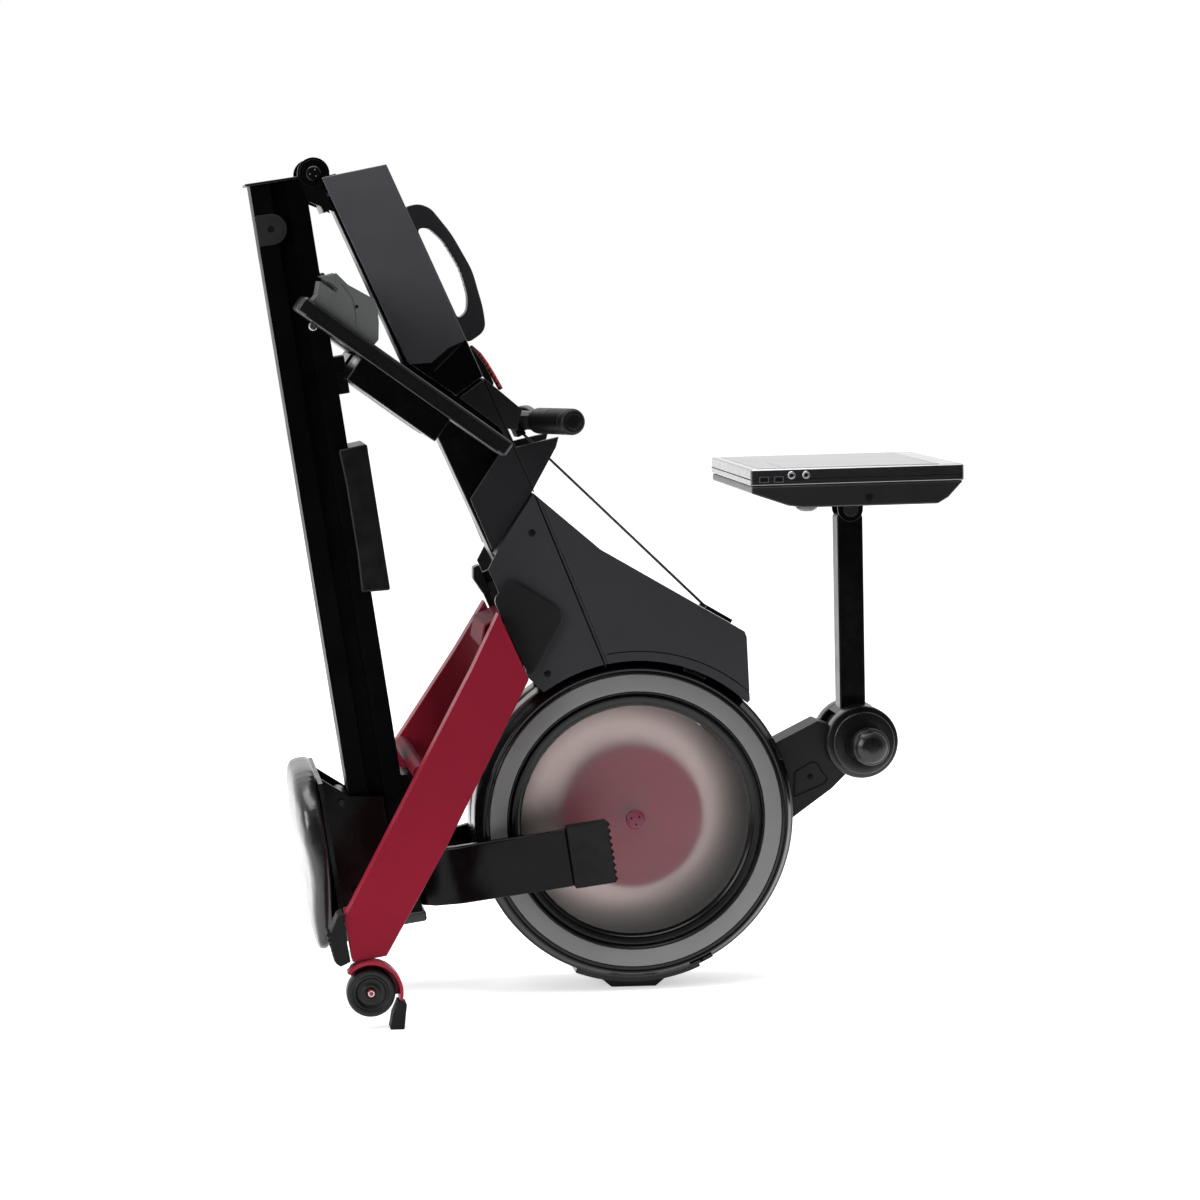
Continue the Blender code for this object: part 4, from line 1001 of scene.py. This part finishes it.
def make_belly_details(left, half):
    """A recess in each side of the belly, drawn as a raised black disc of painted shade, a speaker pod under it,
    and cheeks beside the post.

    The cheeks close the gap at the post's rounded top.
    """
    recess = mm((0, 0.2), (4.4, 0.2), (5.2, 0.7), (5.8, 0.1), (5.8, -1), (0, -1))
    cheek = arc(0.0173, 180.0, 360.0, 24) + mm((17.3, 14), (-17.3, 14))
    for tag, side in SIDES:
        centre = HEAD @ Vector((left + 0.157, side * half, BELLY_LOW + 0.0115))
        # Painted shade: the recess is a slightly raised black disc, not a hollow.
        add_piece(turned(recess, centre, side, 48, False), f"belly_hole_shade_{tag}", "groove",
                  "console_head")
        add_piece(prism(cheek, *span(side, 0.0182, 0.0215), HEAD), f"head_cheek_{tag}",
                  "frame", "console_head", edge=0.0006)
    pod = mm((0, 0), (8, 0.4), (13.5, 4), (16, 11), (0, 11))
    mesh = turned(pod, Vector(), 1.0, 64, False)
    mesh.transform(Matrix.Translation(HEAD @ Vector((left + 0.084, -0.1, BELLY_LOW - 0.009)))
                   @ Matrix.Rotation(math.radians(90.0), 4, "X"))
    add_piece(mesh, "speaker_pod", "heel", "console_head")


def make_rail():
    """The seat rail with its end lugs, caps, bumper and stops, and the rear leg."""
    refine("rail", "rail", 0.0013, 3)
    refine("rail_cap_front", "dark", 0.0006)
    refine("rail_cap_rear", "dark", 0.0016)
    refine("rail_bumper", "bumper", 0.0032, 3)
    refine("rear_leg", "leg_gloss", 0.0022, 3)
    lug = arc(0.02, 180.0, 360.0, 24, LUG) + mm((-43, 83.2), (-83, 83.2))
    rim = band(0.0152, 0.0142, 180.0, 360.0, 24, LUG)
    hole = arc(0.0045, 0.0, 345.0, 23, LUG)
    for tag, side in SIDES:
        add_piece(prism(lug, *span(side, 0.0445, 0.0464), RAIL, (hole,)), f"rail_lug_{tag}",
                  "plate", "rail", edge=0.0006)
        add_piece(prism(rim, *span(side, 0.046, 0.0469), RAIL), f"lug_rim_{tag}", "plate", "rail")
        # Painted shade: a black disc inside the lug's hole darkens it.
        spot = RAIL @ Vector((LUG[0], side * 0.0452, LUG[1]))
        add_piece(turned(button(0.0046, 0.0001), spot, side, 32, False), f"lug_hole_shade_{tag}",
                  "groove", "rail")
        refine(f"rear_foot_{tag}", "rubber", 0.0018)
        make_foot_teeth(tag, side)
    stop = block(-0.29, -0.24, -0.02, 0.02, -0.0035, 0.0122, RAIL)
    add_piece(stop, "rail_stop", "dark", "rail", edge=0.0012)
    rest = mm((-930, 12.2), (-800, 12.2), (-801, -12), (-930, -6))
    add_piece(prism(rest, -0.036, 0.036, RAIL), "crossbar_rest", "frame", "rail", edge=0.0015)


def make_foot_teeth(tag, side):
    """Saw-tooth ribs on the floor end of the rear foot's rubber caps."""
    count = 9
    start = -0.981 + 0.054 * (0.238 - 0.042)
    for i in range(count):
        x = start + 0.082 * (i + 0.5) / count
        tooth = [(x - 0.0038, -0.2375), (x + 0.0038, -0.2375), (x, -0.2412)]
        add_piece(prism(tooth, *span(side, 0.1325, 0.1545), RAIL),
                  f"foot_tooth_{tag}_{i + 1}", "rubber", "rail")


def make_seat():
    refine("seat_carriage", "frame", 0.0008)
    refine("seat_roller_front", "dark", 0.0004)
    refine("seat_roller_rear", "dark", 0.0004)
    make_cushion()


def ease(value):
    value = max(0.0, min(1.0, value))
    return value * value * (3.0 - 2.0 * value)


def cushion_edge(t):
    """The cushion's outline about its centre at turn t: square at the back, rounded in front."""
    angle = 2.0 * math.pi * t
    c, s = math.cos(angle), math.sin(angle)
    power = 3.0 if c > 0.0 else 11.0
    radius = (abs(c / 0.1165) ** power + abs(s / 0.159) ** power) ** (-1.0 / power)
    return radius * c, radius * s


def cushion_lift(x, y):
    """How far the cushion's underside curls up towards its sides and its back."""
    back = max(0.0, 0.015 - x)
    curl = 0.0012 + 0.056 * back + 0.6 * back * back
    return curl * max(ease((abs(y) - 0.06) / 0.07), ease((-x - 0.082) / 0.03))


def cushion_top(x):
    """The crown's height: a little hollow behind the middle, high at the back."""
    return 0.0322 + 0.004 * ease((x + 0.01) / 0.06) + 0.0066 * ease((-0.01 - x) / 0.08)


def make_cushion():
    """A crowned seat pad: a coarse form swollen by cloth simulation, then bent to its shape."""
    around = 72
    bm = bmesh.new()
    levels = [(0.965, 0.0), (0.99, 0.002), (1.0, 0.005), (1.0, 0.019), (0.993, 0.0218),
              (0.975, 0.0234), (0.9, 0.025), (0.75, 0.0268), (0.5, 0.0285), (0.25, 0.0293)]
    edge = [cushion_edge(i / around) for i in range(around)]
    rows = [[bm.verts.new((x * scale, y * scale, z)) for x, y in edge] for scale, z in levels]
    stitch(bm, rows)
    top = bm.verts.new((0.0, 0.0, PAD_FLAT))
    base = bm.verts.new((0.0, 0.0, 0.0))
    for i in range(around):
        k = (i + 1) % around
        bm.faces.new((rows[-1][i], rows[-1][k], top))
        bm.faces.new((rows[0][k], rows[0][i], base))
    obj = link("seat_cushion", mesh_from(bm))
    swell(obj)
    relax(obj)
    pad_shape(obj)
    obj.data.transform(RAIL @ Matrix.Translation((-SEAT_S, 0.0, SEAT_FLOOR)))
    smooth(obj.data, 60.0)
    modify(obj, "smooth", "SUBSURF", levels=1, render_levels=1)
    obj.data.materials.append(FINISH["leather"])
    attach(obj, "seat")
    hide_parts("seat_pad")


def swell(obj):
    """Remesh the pad, blow it up a little with cloth pressure and keep the result."""
    modify(obj, "remesh", "REMESH", mode="VOXEL", voxel_size=0.0045)
    obj.data = settled(obj)
    obj.modifiers.clear()
    rest = [vert.co.copy() for vert in obj.data.vertices]
    group = obj.vertex_groups.new(name="held")
    for vert in obj.data.vertices:
        weight = min(1.0, max(0.0, (0.01 - vert.co.z) / 0.01))
        group.add([vert.index], weight, "REPLACE")
    cloth = obj.modifiers.new("cloth", "CLOTH")
    for key, value in (("quality", 5), ("mass", 0.4), ("tension_stiffness", 18.0),
                       ("compression_stiffness", 18.0), ("bending_stiffness", 2.0),
                       ("use_pressure", True), ("uniform_pressure_force", 3.0),
                       ("vertex_group_mass", "held")):
        setattr(cloth.settings, key, value)
    cloth.settings.effector_weights.gravity = 0.0
    cloth.point_cache.frame_start = 1
    cloth.point_cache.frame_end = SWELL_FRAMES
    scene = bpy.context.scene
    for step in range(1, SWELL_FRAMES + 1):
        scene.frame_set(step)
    mesh = settled(obj)
    obj.modifiers.clear()
    obj.vertex_groups.clear()
    obj.data = mesh
    for vert, start in zip(mesh.vertices, rest):
        move = vert.co - start
        if move.length > SWELL_LIMIT:
            vert.co = start + move.normalized() * SWELL_LIMIT
    scene.frame_set(1)


def relax(obj):
    """Iron out the cloth's small wrinkles: the cover is stretched tight over its foam."""
    bm = bmesh.new()
    bm.from_mesh(obj.data)
    for _ in range(6):
        bmesh.ops.smooth_vert(bm, verts=bm.verts, factor=0.5, use_axis_x=True, use_axis_y=True,
                              use_axis_z=True)
    bm.to_mesh(obj.data)
    bm.free()


def pad_shape(obj):
    """Bend the flat pad between its underside and its crown, and keep it inside its solid."""
    for vert in obj.data.vertices:
        x = max(-SEAT_HALF_X, min(SEAT_HALF_X, vert.co.x))
        y = max(-SEAT_HALF_Y, min(SEAT_HALF_Y, vert.co.y))
        part = max(0.0, min(1.05, vert.co.z / PAD_FLAT))
        low = cushion_lift(x, y)
        z = low + part * (cushion_top(x) - low)
        vert.co = (x, y, max(0.0, min(SEAT_THICK - 0.0008, z)))


# ---------------------------------------------------------------- pull tab

def make_latch_pull():
    """A red braided pull loop with a black tab, at the lower end of the beam's cover."""
    tab = mm((293.5, 92), (296, 98.5), (323, 104), (348, 104.5), (354, 101), (333, 94.5), (316, 91.5))
    obj = add_piece(prism(tab, -0.0085, 0.0085, FRONT), "pull_tab", "dark", "latch_pull",
                    0.0012)
    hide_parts("latch_pull")
    turns, steps, radius = 11.0, 320, 0.0017
    side = Vector((0.0, 1.0, 0.0))
    for i, finish in enumerate(("pull", "pull", "webbing")):
        points = []
        for k in range(steps + 1):
            t = k / steps
            ahead = braid_path(min(1.0, t + 0.004)) - braid_path(max(0.0, t - 0.004))
            lift = ahead.normalized().cross(side)
            angle = 2.0 * math.pi * (turns * t + i / 3.0)
            points.append(FRONT @ (braid_path(t) + (side * math.cos(angle) + lift * math.sin(angle))
                                   * radius))
        add_piece(sweep(points, radius), f"pull_braid_{i + 1}", finish, "latch_pull")


def braid_path(t):
    """The braid's centre line in the front frame: along the tab's back and on past its tip."""
    stops = mm((293, 96.5), (307, 103), (322, 106), (340, 108.2), (360, 109.8))
    place = t * (len(stops) - 1)
    k = min(len(stops) - 2, int(place))
    part = place - k
    (x0, z0), (x1, z1) = stops[k], stops[k + 1]
    return Vector((x0 + (x1 - x0) * part, 0.0, z0 + (z1 - z0) * part))


# ---------------------------------------------------------------- studio

def make_camera():
    cam = bpy.data.cameras.new("camera")
    cam.sensor_width = 36.0
    cam.sensor_fit = "HORIZONTAL"
    cam.lens = 108.0
    obj = link("camera", cam)
    obj.location = (-0.641, -4.766, 0.967)
    obj.rotation_euler = (math.radians(90.0 - 5.32), 0.0, math.radians(-7.72))
    bpy.context.scene.camera = obj


def area_light(name, place, target, size, power):
    light = bpy.data.lights.new(name, "AREA")
    light.shape = "RECTANGLE"
    light.size, light.size_y = size
    light.energy = power
    obj = link(name, light)
    obj.location = place
    aim = Vector(target) - Vector(place)
    obj.rotation_euler = aim.to_track_quat("-Z", "Y").to_euler()


def make_studio():
    """A white sweep that glows a little, in a room that is white but for its dark near side.

    The room's darkness only shows in what the machine reflects: a camera sees it white.
    """
    bm = bmesh.new()
    corners = [(-14.0, -1.25), (14.0, -1.25), (14.0, 14.0), (-14.0, 14.0)]
    bm.faces.new([bm.verts.new((x, y, 0.0)) for x, y in corners])
    floor = link("studio_floor", mesh_from(bm))
    g = Graph("studio_floor")
    g.base(g.blend(g.noise(0.7, 2.0), (0.9, 0.9, 0.9), (0.93, 0.93, 0.93)), 0.6,
           Specular_IOR_Level=0.2, Emission_Color=(1.0, 1.0, 1.0, 1.0), Emission_Strength=0.52)
    floor.data.materials.append(g.mat)

    world = bpy.data.worlds.new("studio")
    world.use_nodes = True
    bpy.context.scene.world = world
    nodes, links = world.node_tree.nodes, world.node_tree.links
    split = nodes.new("ShaderNodeSeparateXYZ")
    links.new(nodes.new("ShaderNodeTexCoord").outputs["Generated"], split.inputs["Vector"])
    ramp = preset(nodes.new("ShaderNodeMapRange"), From_Min=-0.75, From_Max=0.15, To_Min=0.03,
                  To_Max=1.0)
    links.new(split.outputs["Y"], ramp.inputs["Value"])
    seen = nodes.new("ShaderNodeMath")
    seen.operation = "MAXIMUM"
    links.new(ramp.outputs["Result"], seen.inputs[0])
    links.new(nodes.new("ShaderNodeLightPath").outputs["Is Camera Ray"], seen.inputs[1])
    back = preset(nodes["Background"], Color=(1.0, 1.0, 1.0, 1.0))
    links.new(seen.outputs[0], back.inputs["Strength"])

    area_light("left_softbox", (-3.4, -2.4, 1.8), (0.0, 0.0, 0.5), (1.6, 2.2), 100.0)
    area_light("top_softbox", (-0.4, -0.2, 3.4), (0.0, 0.0, 0.3), (3.0, 3.0), 130.0)
    bpy.context.scene.view_settings.view_transform = "Standard"


def main():
    make_camera()
    for make in (make_spine, make_hinge, make_shroud, make_housing, make_flywheel, make_legs,
                 make_pedals, make_handle, make_strap, make_console_arm, make_console_post,
                 make_console, make_rail, make_seat, make_latch_pull, make_studio):
        make()


main()
